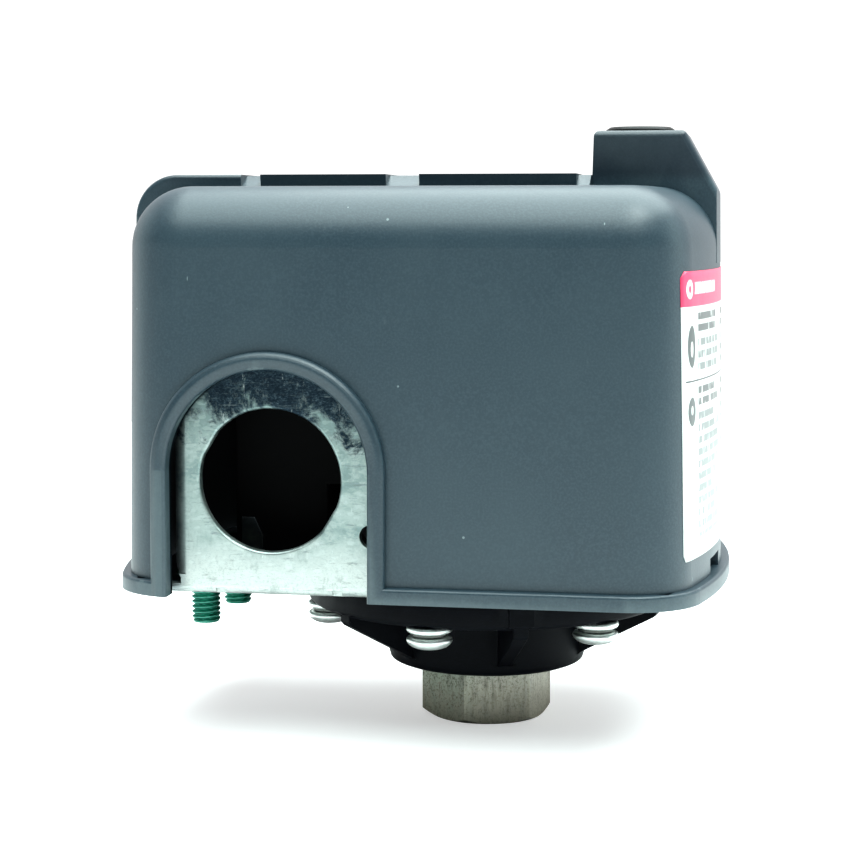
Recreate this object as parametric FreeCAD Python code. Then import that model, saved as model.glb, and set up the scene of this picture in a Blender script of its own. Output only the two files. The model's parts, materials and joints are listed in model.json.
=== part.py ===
import FreeCAD, Part
import math
import os

# Pump pressure switch, in millimetres.
# Frame: the origin is the middle of the pressure port's mouth, +Z runs up the port's axis through the
# diaphragm, +X points to the range spring and the tall boss of the cover, and Y runs across the case.

# ---- pressure port and diaphragm housing ----
PORT_ACROSS_FLATS = 19.05
PORT_HEX_TOP = 9.4
PORT_BORE_R = 5.56
PORT_BORE_DEPTH = 13.0
PORT_SHANK_R = 8.0
PORT_TOP = 16.0
PORT_TURN = -11.8
HUB_R = 16.5
RING_R = 30.0
RING_BOTTOM = 19.8
BASE_BOTTOM = 25.0
DIAPHRAGM_R = 24.0
DIAPHRAGM_T = 1.5
SCREW_CIRCLE_R = 26.6
SCREW_COUNT = 6
SCREW_R = 2.0
FLAT_WASHER_T = 1.05
LOCK_WASHER_T = 0.65
WASHER_R = 3.65
GUSSET_T = 2.4

# ---- bracket ----
SHEET = 1.5
BASE_TOP = BASE_BOTTOM + SHEET
BRACKET_HALF_DEPTH = 33.0
BRACKET_INNER = BRACKET_HALF_DEPTH - SHEET
CONDUIT_X = -29.2
CONDUIT_Z = 42.9
CONDUIT_R = 11.1
CONDUIT_EDGE_R = 0.5
CONDUIT_FLAT_ANGLES = (149, 329)
CONDUIT_FLAT_HALF_ANGLE = 11.2
PLATE_LEFT = -44.8
PLATE_RIGHT = 26.0
PLATE_TOP = 63.5
PLATE_BEND_R = 2.2
FOLD_DEPTH = 4.0
FOLD_BOTTOM = 29.5
FLOOR_LEFT = -52.5
FLOOR_RIGHT = 31.0
FLOOR_CORNER = 15.0
FLOOR_LIP = FLOOR_LEFT + 4.9
FOOT_LEFT = PLATE_LEFT - 0.5
FOOT_NOTCH = 1.2
BEND_R = 1.3
BEND_NOTCH_XS = (-37.9, -19.4)
BEND_NOTCH_WIDTH = 1.45
SPARE_HOLE_X = -13.3
SPARE_HOLE_Z = 34.6
SPARE_HOLE_R = 1.8
PLATE_LOW_TOP = 46.0

# ---- cover ----
COVER_BOTTOM = BASE_BOTTOM
COVER_TOP = 88.05
COVER_HALF_DEPTH = 36.0
COVER_LEFT = -57.0
COVER_RIGHT = 39.0
COVER_BOW_R = 107.0
COVER_DRAFT = 1.0
COVER_WALL = 2.0
COVER_CORNER_R = 10.4
COVER_TOP_R = 9.6
FLANGE_PROUD = 1.4
FLANGE_HEIGHT = 2.4
BEAD_ROUND = 0.5
ARCH_X = -28.95
ARCH_R = 15.75
ARCH_BEAD_R = 18.45
ARCH_Z = 44.5
BOSS_HALF_DEPTH = 9.0
BOSS_TOP = 96.95
DECK_TOP = 90.1
DECK_HALF_DEPTH = 14.0
DECK_PROUD = 1.1
DECK_ROUND = 0.6
DECK_BAND_RIGHT = -38.4
DECK_PADS = ((-35.2, -14.6), (-9.2, 15.9))
DECK_GAPS = ((-38.6, -35.0), (-14.8, -9.0), (15.7, 17.9))
BOSS_LEFT = 17.9
BOSS_ROUND = 1.0
LABEL_BOTTOM = 31.6
LABEL_TOP = 75.2
LABEL_EDGE_LOW_X = 34.1
LABEL_EDGE_HIGH_X = 33.4
WINDOW_Y = 11.9
WINDOW_WIDTH = 9.0
NUT_R = 5.65
NUT_BOTTOM = 90.6
NUT_TOP = 97.75

# ---- lever, studs and springs ----
PIVOT_X = -15.0
PIVOT_Z = 34.3
PIVOT_R = 2.0
LEVER_BOTTOM = 35.8
LEVER_TOP = LEVER_BOTTOM + SHEET
LEVER_HALF_WIDTH = 12.5
EAR_INNER = 13.0
STEM_R = 3.5
PAD_R = 10.5
RUNNING_GAP = 0.08
RANGE_X = 25.0
RANGE_STUD_R = 2.38
RANGE_STUD_TOP = 95.6
RANGE_SPRING_R = 6.5
RANGE_WIRE_R = 0.9
RANGE_SPRING_TOP = 70.6
DIFF_X = 9.0
DIFF_STUD_R = 2.0
DIFF_STUD_TOP = 64.6
DIFF_SPRING_R = 4.1
DIFF_WIRE_R = 0.6
DIFF_SPRING_TOP = 55.6
SEAT_TOP = LEVER_TOP + 1.2
SPRING_GAP = 0.1
SPRING_WASHER_T = 1.3

# ---- contact block ----
BLOCK_LEFT = -38.0
BLOCK_RIGHT = -12.0
BLOCK_HALF_DEPTH = 20.0
BLOCK_BOTTOM = 40.8
BLOCK_DECK = 58.8
BARRIER_TOP = 67.8
SKIRT_BOTTOM = 27.3
SKIRT_RIGHT = -23.0
CLIP_TOP = 35.3
CLIP_T = 0.8
BLOCK_SCREW_X = -9.6
BLOCK_SCREW_Z = 52.8
TERMINAL_YS = (-14.5, -5.0, 5.0, 14.5)
TERMINAL_WIDTH = 6.8
CLAMP_HALF = 3.3
TERMINAL_T = 1.2
TERMINAL_SCREW_X = -31.0
TAB_X = -10.4
CONTACT_Z = 64.4
CONTACT_R = 2.0
CARRIER_X = -2.7
CARRIER_Z = 44.8
CARRIER_PIN_R = 1.5
CARRIER_HALF_DEPTH = 17.5
CARRIER_LEFT = -4.0
CARRIER_T = 2.6
CARRIER_TOP = 68.8
BRIDGE_X = -8.0
BRIDGE_T = 1.0

# ---- ground screws ----
GROUND_SPOTS = {"front": (-42.1, -24.0), "rear": (-41.3, -7.6)}
GROUND_R = 2.3
GROUND_TIP = 18.8
GROUND_WASHER_R = 4.7

UP = FreeCAD.Vector(0, 0, 1)
ALONG_Y = FreeCAD.Vector(0, 1, 0)
ALONG_X = FreeCAD.Vector(1, 0, 0)
CENTRE = FreeCAD.Vector(0, 0, 0)


def block(x0, x1, y0, y1, z0, z1):
    return Part.makeBox(x1 - x0, y1 - y0, z1 - z0, FreeCAD.Vector(x0, y0, z0))


def post(r, z0, z1, x=0.0, y=0.0):
    return Part.makeCylinder(r, z1 - z0, FreeCAD.Vector(x, y, z0), UP)


def rod_y(r, y0, y1, x, z):
    return Part.makeCylinder(r, y1 - y0, FreeCAD.Vector(x, y0, z), ALONG_Y)


def rod_x(r, x0, x1, y, z):
    return Part.makeCylinder(r, x1 - x0, FreeCAD.Vector(x0, y, z), ALONG_X)


def turned(profile, x=0.0, y=0.0):
    """Solid of revolution about the vertical through (x, y). The profile is a list of (radius, height)."""
    points = [FreeCAD.Vector(x + r, y, z) for r, z in profile]
    face = Part.Face(Part.makePolygon(points + points[:1]))
    return face.revolve(FreeCAD.Vector(x, y, 0), UP, 360)


def prism_xz(points, y0, y1):
    """Extrudes an outline given as (x, z) points from y0 to y1."""
    corners = [FreeCAD.Vector(x, y0, z) for x, z in points]
    return Part.Face(Part.makePolygon(corners + corners[:1])).extrude(FreeCAD.Vector(0, y1 - y0, 0))


def prism_yz(points, x0, x1):
    """Extrudes an outline given as (y, z) points from x0 to x1."""
    corners = [FreeCAD.Vector(x0, y, z) for y, z in points]
    return Part.Face(Part.makePolygon(corners + corners[:1])).extrude(FreeCAD.Vector(x1 - x0, 0, 0))


def prism_xy(points, z0, z1):
    """Extrudes an outline given as (x, y) points from z0 to z1."""
    corners = [FreeCAD.Vector(x, y, z0) for x, y in points]
    return Part.Face(Part.makePolygon(corners + corners[:1])).extrude(FreeCAD.Vector(0, 0, z1 - z0))


def hexagon(across_flats, z0, z1, x=0.0, y=0.0, turn=0.0):
    r = across_flats / math.sqrt(3)
    angles = [math.radians(turn - 90 + 60 * k) for k in range(6)]
    return prism_xy([(x + r * math.cos(a), y + r * math.sin(a)) for a in angles], z0, z1)


def edges_where(shape, test):
    """The edges whose every end point and middle point pass the test."""
    found = []
    for edge in shape.Edges:
        points = [vertex.Point for vertex in edge.Vertexes]
        points.append(edge.valueAt(0.5 * (edge.FirstParameter + edge.LastParameter)))
        if all(test(p) for p in points):
            found.append(edge)
    return found


def mirrored(shape):
    """The shape with its mirror image across the case's middle plane."""
    return [shape, shape.mirror(CENTRE, ALONG_Y)]


def fused(shapes):
    result = shapes[0].fuse(shapes[1:])
    return result.removeSplitter()


def group(shapes):
    return Part.makeCompound(shapes)


def spring(mean_r, wire_r, z0, z1, turns, x=0.0, y=0.0):
    """Round wire wound on the vertical through (x, y), between the heights z0 and z1."""
    height = z1 - z0 - 2 * wire_r
    helix = Part.makeHelix(height / turns, height, mean_r)
    section = Part.Wire(Part.makeCircle(wire_r, FreeCAD.Vector(mean_r, 0, 0), ALONG_Y))
    coil = Part.Wire(helix.Edges).makePipeShell([section], True, True)
    coil.translate(FreeCAD.Vector(x, y, z0 + wire_r))
    return coil


def screw_spots():
    """Places of the housing screws. They stand in line with the corners of the port's hexagon."""
    angles = [math.radians(PORT_TURN - 90 + 360 / SCREW_COUNT * k) for k in range(SCREW_COUNT)]
    return [(SCREW_CIRCLE_R * math.cos(a), SCREW_CIRCLE_R * math.sin(a)) for a in angles]


# ---- pressure port, housing and diaphragm ----


def pressure_port():
    chamfer_r = PORT_ACROSS_FLATS / 2
    hexed = hexagon(PORT_ACROSS_FLATS, 0, PORT_HEX_TOP, turn=PORT_TURN)
    corner_r = chamfer_r + 1.7
    envelope = turned([(0, 0), (chamfer_r, 0), (corner_r, 1), (corner_r, PORT_HEX_TOP), (0, PORT_HEX_TOP)])
    shank = post(PORT_SHANK_R - 0.02, PORT_HEX_TOP, PORT_TOP)
    bore = post(PORT_BORE_R, -1, PORT_BORE_DEPTH)
    passage = post(2.5, PORT_BORE_DEPTH - 1, PORT_TOP + 1)
    return hexed.common(envelope).fuse(shank).cut(bore).cut(passage).removeSplitter()


def housing_outer():
    """The ring, with a small chamfer under its rim, and the hub below it."""
    hub_bottom = PORT_HEX_TOP
    return turned([
        (0, hub_bottom),
        (HUB_R - 1.3, hub_bottom),
        (HUB_R - 0.3, hub_bottom + 0.4),
        (HUB_R, hub_bottom + 1.4),
        (HUB_R + 0.3, RING_BOTTOM),
        (RING_R - 0.6, RING_BOTTOM),
        (RING_R, RING_BOTTOM + 0.6),
        (RING_R, BASE_BOTTOM),
        (0, BASE_BOTTOM),
    ])


def housing_chamber():
    """The hollow under the diaphragm, and the recess that holds the diaphragm's rim."""
    rim_bottom = BASE_BOTTOM - DIAPHRAGM_T
    return turned([
        (0, PORT_TOP + 2.5),
        (13.2, PORT_TOP + 2.5),
        (13.2, rim_bottom - 2.6),
        (17.6, rim_bottom),
        (DIAPHRAGM_R + 0.05, rim_bottom),
        (DIAPHRAGM_R + 0.05, BASE_BOTTOM + 1),
        (0, BASE_BOTTOM + 1),
    ])


def diaphragm_housing():
    gusset = prism_xz([
        (HUB_R - 2, PORT_HEX_TOP + 2),
        (HUB_R, PORT_HEX_TOP + 2.0),
        (RING_R - 0.8, RING_BOTTOM - 1.5),
        (RING_R - 0.3, RING_BOTTOM - 0.9),
        (RING_R - 0.3, RING_BOTTOM + 1),
        (HUB_R - 2, RING_BOTTOM + 1),
    ], -GUSSET_T / 2, GUSSET_T / 2)
    key = block(RING_R - 1, RING_R + 0.5, -2.0, 2.0, RING_BOTTOM + 0.6, BASE_BOTTOM - 0.2)
    shape = housing_outer()
    for k in range(SCREW_COUNT):
        arm = gusset.copy()
        arm.rotate(CENTRE, UP, PORT_TURN - 90 + 30 + 60 * k)
        shape = shape.fuse(arm)
    key.rotate(CENTRE, UP, PORT_TURN - 90 + 30)
    shape = shape.fuse(key)
    shape = shape.cut(housing_chamber())
    shape = shape.cut(post(PORT_SHANK_R, PORT_HEX_TOP - 1, PORT_TOP))
    shape = shape.cut(post(2.5, PORT_TOP - 1, PORT_TOP + 3))
    for x, y in screw_spots():
        shape = shape.cut(post(SCREW_R + 0.15, RING_BOTTOM - 5, BASE_BOTTOM + 1, x, y))
        shape = shape.cut(post(SCREW_R + 2.3, RING_BOTTOM - 5, RING_BOTTOM, x, y))
    return shape.removeSplitter()


def diaphragm():
    """Rubber disc: a flat clamped rim, a sloping wall and a flat middle one sheet lower."""
    top = BASE_BOTTOM
    low = top - 3.6
    return turned([
        (0, low - DIAPHRAGM_T),
        (11.6, low - DIAPHRAGM_T),
        (17.2, top - DIAPHRAGM_T),
        (DIAPHRAGM_R, top - DIAPHRAGM_T),
        (DIAPHRAGM_R, top),
        (16.6, top),
        (11.2, low),
        (0, low),
    ])


def plunger():
    """The pad on the diaphragm, with a domed stem that comes up through the base."""
    low = BASE_BOTTOM - 3.6
    return turned([
        (0, low),
        (PAD_R, low),
        (PAD_R, BASE_BOTTOM - 0.75),
        (STEM_R, BASE_BOTTOM - 0.75),
        (STEM_R, LEVER_BOTTOM - 1.6),
        (STEM_R - 0.8, LEVER_BOTTOM - 0.7),
        (1.0, LEVER_BOTTOM - 0.05),
        (0, LEVER_BOTTOM - 0.05),
    ])


def pan_head_screw(x, y):
    """Screw driven from below: domed head, cross recess, and a shank that ends above the base plate."""
    head_top = RING_BOTTOM - FLAT_WASHER_T - LOCK_WASHER_T
    body = turned([
        (0, head_top - 2.1),
        (1.6, head_top - 2.05),
        (2.7, head_top - 1.8),
        (3.4, head_top - 1.3),
        (WASHER_R, head_top - 0.6),
        (3.5, head_top),
        (SCREW_R, head_top),
        (SCREW_R, BASE_TOP + 2.6),
        (SCREW_R - 0.5, BASE_TOP + 3.1),
        (0, BASE_TOP + 3.1),
    ], x, y)
    slot_a = block(x - 2.0, x + 2.0, y - 0.45, y + 0.45, head_top - 3, head_top - 1.1)
    slot_b = block(x - 0.45, x + 0.45, y - 2.0, y + 2.0, head_top - 3, head_top - 1.1)
    return body.cut(slot_a).cut(slot_b)


def washer(x, y, r_out, r_in, z0, z1):
    return post(r_out, z0, z1, x, y).cut(post(r_in, z0 - 1, z1 + 1, x, y))


def lock_washer(x, y):
    """Split ring: its gap faces the port."""
    top = RING_BOTTOM - FLAT_WASHER_T
    ring = washer(x, y, 3.15, SCREW_R + 0.15, top - LOCK_WASHER_T, top)
    gap = block(-5, 0, -0.25, 0.25, top - 2, top + 1)
    gap.rotate(CENTRE, UP, math.degrees(math.atan2(y, x)))
    gap.translate(FreeCAD.Vector(x, y, 0))
    return ring.cut(gap)


def housing_screws():
    return group([pan_head_screw(x, y) for x, y in screw_spots()])


def housing_lock_washers():
    return group([lock_washer(x, y) for x, y in screw_spots()])


def housing_flat_washers():
    top = RING_BOTTOM
    low = top - FLAT_WASHER_T
    return group([washer(x, y, WASHER_R, SCREW_R + 0.15, low, top) for x, y in screw_spots()])


# ---- bracket ----


def side_plate():
    """The bracket's front upright with its bend: tall round the conduit hole, low along the lever."""
    outline = prism_xz([
        (PLATE_LEFT, FOLD_BOTTOM),
        (PLATE_LEFT + FOOT_NOTCH, BASE_BOTTOM + 2.4),
        (PLATE_LEFT + FOOT_NOTCH, BASE_BOTTOM),
        (PLATE_RIGHT, BASE_BOTTOM),
        (PLATE_RIGHT, PLATE_LOW_TOP - 8),
        (PLATE_RIGHT - 6, PLATE_LOW_TOP),
        (6.0, PLATE_LOW_TOP),
        (-3.0, PLATE_TOP - 6),
        (-9.0, PLATE_TOP),
        (PLATE_LEFT, PLATE_TOP),
    ], -BRACKET_HALF_DEPTH, -BRACKET_INNER)
    x0 = PLATE_LEFT
    y0 = -BRACKET_HALF_DEPTH
    fold = block(x0, x0 + SHEET, y0, y0 + FOLD_DEPTH, FOLD_BOTTOM, PLATE_TOP)
    plate = outline.fuse(fold)
    bend_x = x0 + PLATE_BEND_R
    bend_y = y0 + PLATE_BEND_R
    low = FOLD_BOTTOM - 1.5
    corner = block(x0 - 1, bend_x, y0 - 1, bend_y, low, PLATE_TOP + 1)
    corner = corner.cut(post(PLATE_BEND_R, low - 1, PLATE_TOP + 2, bend_x, bend_y))
    inner = block(x0 + SHEET, bend_x, y0 + SHEET, bend_y, FOLD_BOTTOM, PLATE_TOP)
    inner = inner.cut(post(PLATE_BEND_R - SHEET, low, PLATE_TOP + 1, bend_x, bend_y))
    plate = plate.cut(corner).fuse(inner)
    foot = block(FOOT_LEFT, x0 + FOOT_NOTCH, y0, -BRACKET_INNER, BASE_BOTTOM, BASE_TOP)
    plate = plate.fuse(foot).removeSplitter()
    bends = edges_where(plate, lambda p: abs(p.z - BASE_BOTTOM) < 0.01 and abs(p.y - y0) < 0.01)
    plate = plate.makeFillet(BEND_R, [edge for edge in bends if edge.Length > 20])
    notch_top = BASE_BOTTOM + 0.95
    for x in BEND_NOTCH_XS:
        plate = plate.cut(block(x, x + BEND_NOTCH_WIDTH, y0 - 0.7, y0 + 0.7, BASE_BOTTOM - 1, notch_top))
    plate = plate.cut(conduit_knockout())
    face_edges = edges_where(plate, lambda p: p.y < y0 + 0.01)
    hole_centre = FreeCAD.Vector(CONDUIT_X, y0, CONDUIT_Z)
    rim = [edge for edge in face_edges if edge.CenterOfMass.distanceToPoint(hole_centre) < CONDUIT_R]
    plate = plate.makeFillet(CONDUIT_EDGE_R, rim)
    plate = plate.cut(rod_y(SPARE_HOLE_R, y0 - 1, 1 - BRACKET_INNER, SPARE_HOLE_X, SPARE_HOLE_Z))
    return plate.cut(countersunk(1.55, 3.0))


def countersunk(shank_r, head_r):
    """Solid of a flat-head screw, or of its hole, across the front upright and into the contact block."""
    y = -BRACKET_HALF_DEPTH
    at = FreeCAD.Vector(BLOCK_SCREW_X, y, BLOCK_SCREW_Z)
    head = Part.makeCone(head_r, shank_r, SHEET, at, ALONG_Y)
    return head.fuse(rod_y(shank_r, y + SHEET, y + 10, BLOCK_SCREW_X, BLOCK_SCREW_Z))


def conduit_knockout():
    """Round hole with two short straight stretches, where the knockout's tabs were."""
    hole = rod_y(CONDUIT_R, -BRACKET_HALF_DEPTH - 1, -BRACKET_INNER + 1, CONDUIT_X, CONDUIT_Z)
    chord = CONDUIT_R * math.cos(math.radians(CONDUIT_FLAT_HALF_ANGLE))
    for angle in CONDUIT_FLAT_ANGLES:
        flat = block(chord, CONDUIT_R + 1, -BRACKET_HALF_DEPTH - 2, -BRACKET_INNER + 2, -8, 8)
        flat.rotate(CENTRE, ALONG_Y, -angle)
        flat.translate(FreeCAD.Vector(CONDUIT_X, 0, CONDUIT_Z))
        hole = hole.cut(flat)
    return hole


def pivot_bracket():
    """U-shaped bracket welded on the base. Its two ears carry the lever's pin."""
    outer = EAR_INNER + SHEET
    foot = block(PIVOT_X - 5, PIVOT_X + 5, -outer, outer, BASE_TOP, BASE_TOP + SHEET)
    ear = prism_xz([
        (PIVOT_X - 5, BASE_TOP),
        (PIVOT_X + 5, BASE_TOP),
        (PIVOT_X + 3.4, PIVOT_Z + 2.5),
        (PIVOT_X + 1.4, PIVOT_Z + 3.9),
        (PIVOT_X - 1.4, PIVOT_Z + 3.9),
        (PIVOT_X - 3.4, PIVOT_Z + 2.5),
    ], -outer, -EAR_INNER)
    shape = fused([foot] + mirrored(ear))
    bends = edges_where(shape, lambda p: p.z < BASE_TOP + 0.01 and abs(p.y) > outer - 0.01)
    shape = shape.makeFillet(1.2, bends)
    return shape.cut(rod_y(PIVOT_R + 0.02, -outer - 1, outer + 1, PIVOT_X, PIVOT_Z))


def block_clips():
    """Pair of small sheet clips on the base that locate the contact block's skirt, one corner cut off."""
    y = -BLOCK_HALF_DEPTH - 0.05
    x0 = BLOCK_LEFT + 1.0
    x1 = BLOCK_LEFT + 4.6
    foot = block(x0, x1, y - 4.5, y, BASE_TOP, BASE_TOP + CLIP_T)
    stem = prism_xz([
        (x0, BASE_TOP),
        (x1, BASE_TOP),
        (x1, CLIP_TOP - 3.0),
        (x1 - 1.4, CLIP_TOP),
        (x0, CLIP_TOP),
    ], y - CLIP_T, y)
    return group(mirrored(stem.fuse(foot).removeSplitter()))


def base_plate():
    """The bracket's flat middle, up to its two bends. The corners are cut back to clear the cover's."""
    edge = BRACKET_INNER
    shape = prism_xy([
        (FLOOR_LEFT, -edge + FLOOR_CORNER),
        (FLOOR_LEFT + 2.3, -edge + FLOOR_CORNER / 2),
        (FLOOR_LIP, -edge),
        (PLATE_RIGHT + 1.5, -edge),
        (FLOOR_RIGHT, -edge + 3.5),
        (FLOOR_RIGHT, edge - 3.5),
        (PLATE_RIGHT + 1.5, edge),
        (FLOOR_LIP, edge),
        (FLOOR_LEFT + 2.3, edge - FLOOR_CORNER / 2),
        (FLOOR_LEFT, edge - FLOOR_CORNER),
    ], BASE_BOTTOM, BASE_TOP)
    shape = shape.cut(post(STEM_R + RUNNING_GAP, BASE_BOTTOM - 1, BASE_TOP + 1))
    for x, y in screw_spots():
        shape = shape.cut(post(SCREW_R + 0.02, BASE_BOTTOM - 1, BASE_TOP + 1, x, y))
    for x, y in GROUND_SPOTS.values():
        shape = shape.cut(post(GROUND_R + 0.02, BASE_BOTTOM - 1, BASE_TOP + 1, x, y))
    shape = shape.cut(post(RANGE_STUD_R + 0.02, BASE_BOTTOM - 1, BASE_TOP + 1, RANGE_X))
    return shape.cut(post(DIFF_STUD_R + 0.02, BASE_BOTTOM - 1, BASE_TOP + 1, DIFF_X))


# ---- cover ----


def cover_section(z, grow):
    """Closed outline of the cover at height z: two straight sides and two bowed ends, shrinking upwards."""
    shrink = grow - (z - COVER_BOTTOM) * math.tan(math.radians(COVER_DRAFT))
    half = COVER_HALF_DEPTH + shrink
    left = COVER_LEFT - shrink
    right = COVER_RIGHT + shrink
    bow = COVER_BOW_R + shrink
    sag = bow - math.sqrt(bow ** 2 - half ** 2)
    front_left = FreeCAD.Vector(left + sag, -half, z)
    front_right = FreeCAD.Vector(right - sag, -half, z)
    back_left = FreeCAD.Vector(left + sag, half, z)
    back_right = FreeCAD.Vector(right - sag, half, z)
    return Part.Wire([
        Part.LineSegment(front_left, front_right).toShape(),
        Part.Arc(front_right, FreeCAD.Vector(right, 0, z), back_right).toShape(),
        Part.LineSegment(back_right, back_left).toShape(),
        Part.Arc(back_left, FreeCAD.Vector(left, 0, z), front_left).toShape(),
    ])


def cover_form(grow, z0, z1, top_r=0.0):
    """Solid of the cover's outline between two heights, with rounded upright corners and top edge."""
    form = Part.makeLoft([cover_section(z0, grow), cover_section(z1, grow)], True, True)
    upright = edges_where(form, lambda p: abs(p.y) > COVER_HALF_DEPTH + grow - 3)
    upright = [e for e in upright if abs(e.Vertexes[0].Z - e.Vertexes[1].Z) > 0.5 * (z1 - z0)]
    form = form.makeFillet(COVER_CORNER_R + grow, upright)
    if top_r > 0:
        form = form.makeFillet(top_r, edges_where(form, lambda p: abs(p.z - z1) < 0.01))
    return form


def arch_prism(r, x, y0, y1):
    """Arch-shaped bar across the wall: a half round on straight legs that run down past the rim."""
    legs = block(x - r, x + r, y0, y1, COVER_BOTTOM - 2, ARCH_Z)
    return rod_y(r, y0, y1, x, ARCH_Z).fuse(legs)


def arch_beads():
    """Raised border round each arch and along the rim, with its outer edges eased."""
    reach = COVER_HALF_DEPTH + 4
    rim = block(COVER_LEFT - 9, COVER_RIGHT + 9, -reach, reach, COVER_BOTTOM, COVER_BOTTOM + FLANGE_HEIGHT)
    arches = mirrored(arch_prism(ARCH_BEAD_R, ARCH_X, -reach, -COVER_HALF_DEPTH + 3))
    shell = cover_form(FLANGE_PROUD, COVER_BOTTOM, ARCH_Z + ARCH_BEAD_R + 3)
    bead = shell.common(rim.fuse(arches))
    for opening in mirrored(arch_prism(ARCH_R, ARCH_X, -reach, -COVER_HALF_DEPTH + 6)):
        bead = bead.cut(opening)
    skin = shell.Shells[0]
    outer = edges_where(bead, lambda p: skin.distToShape(Part.Vertex(p))[0] < 0.02)
    return bead.makeFillet(BEAD_ROUND, [e for e in outer if e.BoundBox.ZMax > COVER_BOTTOM + 0.1])


def boss():
    """Tall block over the range stud. Its outer end slopes down to the cover's bowed end."""
    outline = prism_xz([
        (BOSS_LEFT - 0.3, COVER_TOP - 12),
        (BOSS_LEFT + 0.25, BOSS_TOP),
        (32.5, BOSS_TOP),
        (38.3, BOSS_TOP - 10.4),
        (45.0, BOSS_TOP - 14.6),
        (45.0, COVER_TOP - 12),
    ], -BOSS_HALF_DEPTH, BOSS_HALF_DEPTH)
    shape = outline.common(cover_form(0.05, COVER_BOTTOM, BOSS_TOP + 5))
    return shape.makeFillet(BOSS_ROUND, edges_where(shape, lambda p: p.z > COVER_TOP - 5))


def deck():
    """Low raised deck on top that wraps down the left end, with pads and sloping gaps along its sides."""
    half = DECK_HALF_DEPTH
    form = cover_form(DECK_PROUD, COVER_BOTTOM, DECK_TOP, 7.0)
    low = COVER_TOP - 4
    band = form.common(block(COVER_LEFT - 5, DECK_BAND_RIGHT, -half, half, COVER_TOP - 30, DECK_TOP + 1))
    skin = form.Shells[0]
    rims = edges_where(band, lambda p: abs(p.y) > half - 0.01 and skin.distToShape(Part.Vertex(p))[0] < 0.02)
    pads = [band.makeFillet(DECK_ROUND, rims)]
    flat = [(-half + 1.2, low), (-half, DECK_TOP), (half, DECK_TOP), (half - 1.2, low)]
    for x0, x1 in DECK_PADS:
        pads.append(prism_yz(flat, x0, x1))
    ramp = [
        (-half + 1, low),
        (-half - 0.5, COVER_TOP - 0.3),
        (-half + 4, DECK_TOP - 0.15),
        (half - 4, DECK_TOP - 0.15),
        (half + 0.5, COVER_TOP - 0.3),
        (half - 1, low),
    ]
    for x0, x1 in DECK_GAPS:
        pads.append(prism_yz(ramp, x0, x1))
    return pads


def cover():
    """Moulded cover: drafted shell, rim, arches over the conduit holes, deck, boss and nut seat."""
    shape = cover_form(0.0, COVER_BOTTOM, COVER_TOP, COVER_TOP_R)
    shape = shape.fuse(deck() + [boss(), arch_beads()])
    shape = shape.removeSplitter()
    hollow = cover_form(-COVER_WALL, COVER_BOTTOM, COVER_TOP - COVER_WALL, COVER_TOP_R - COVER_WALL)
    shape = shape.cut(hollow)
    shape = shape.cut(block(COVER_LEFT - 9, COVER_RIGHT + 9, -50, 50, COVER_BOTTOM - 9, COVER_BOTTOM))
    reach = COVER_HALF_DEPTH + 5
    for opening in mirrored(arch_prism(ARCH_R, ARCH_X, -reach, -COVER_HALF_DEPTH + 6)):
        shape = shape.cut(opening)
    shape = shape.cut(post(NUT_R + 0.35, NUT_BOTTOM - 0.1, BOSS_TOP + 1, RANGE_X))
    shape = shape.cut(post(RANGE_STUD_R + 0.6, COVER_TOP - 10, BOSS_TOP, RANGE_X))
    core_top = NUT_BOTTOM - 2.2
    core_half = BOSS_HALF_DEPTH - 2
    shape = shape.cut(block(BOSS_LEFT + 2, 32.0, -core_half, core_half, COVER_TOP - 5, core_top))
    half = WINDOW_WIDTH / 2
    z0 = COVER_BOTTOM + FLANGE_HEIGHT
    for y in (-WINDOW_Y, WINDOW_Y):
        shape = shape.cut(block(COVER_RIGHT - 6, COVER_RIGHT + 6, y - half, y + half, z0, z0 + 2.5))
    return shape.removeSplitter()


def cover_label():
    """Thin label that wraps the bowed right end between the two corners."""
    thickness = 0.15
    skin = cover_form(thickness, COVER_BOTTOM, COVER_TOP)
    patch = prism_xz([
        (LABEL_EDGE_LOW_X, LABEL_BOTTOM),
        (COVER_RIGHT + 5, LABEL_BOTTOM),
        (COVER_RIGHT + 5, LABEL_TOP),
        (LABEL_EDGE_HIGH_X, LABEL_TOP),
    ], -COVER_HALF_DEPTH - 4, COVER_HALF_DEPTH + 4)
    skin = skin.common(patch)
    return skin.cut(cover_form(0.0, COVER_BOTTOM, COVER_TOP))


def cover_nut():
    """Round nut with a driver slot and a blind threaded hole for the range stud."""
    z0 = NUT_BOTTOM
    shape = turned([
        (0, z0),
        (NUT_R, z0),
        (NUT_R, NUT_TOP - 0.45),
        (NUT_R - 0.7, NUT_TOP),
        (0, NUT_TOP),
    ], RANGE_X)
    shape = shape.cut(post(RANGE_STUD_R + RUNNING_GAP, z0 - 1, RANGE_STUD_TOP + 0.2, RANGE_X))
    return shape.cut(block(RANGE_X - 9, RANGE_X + 9, -0.65, 0.65, NUT_TOP - 1.5, NUT_TOP + 1))


# ---- lever, studs and springs ----


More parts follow.
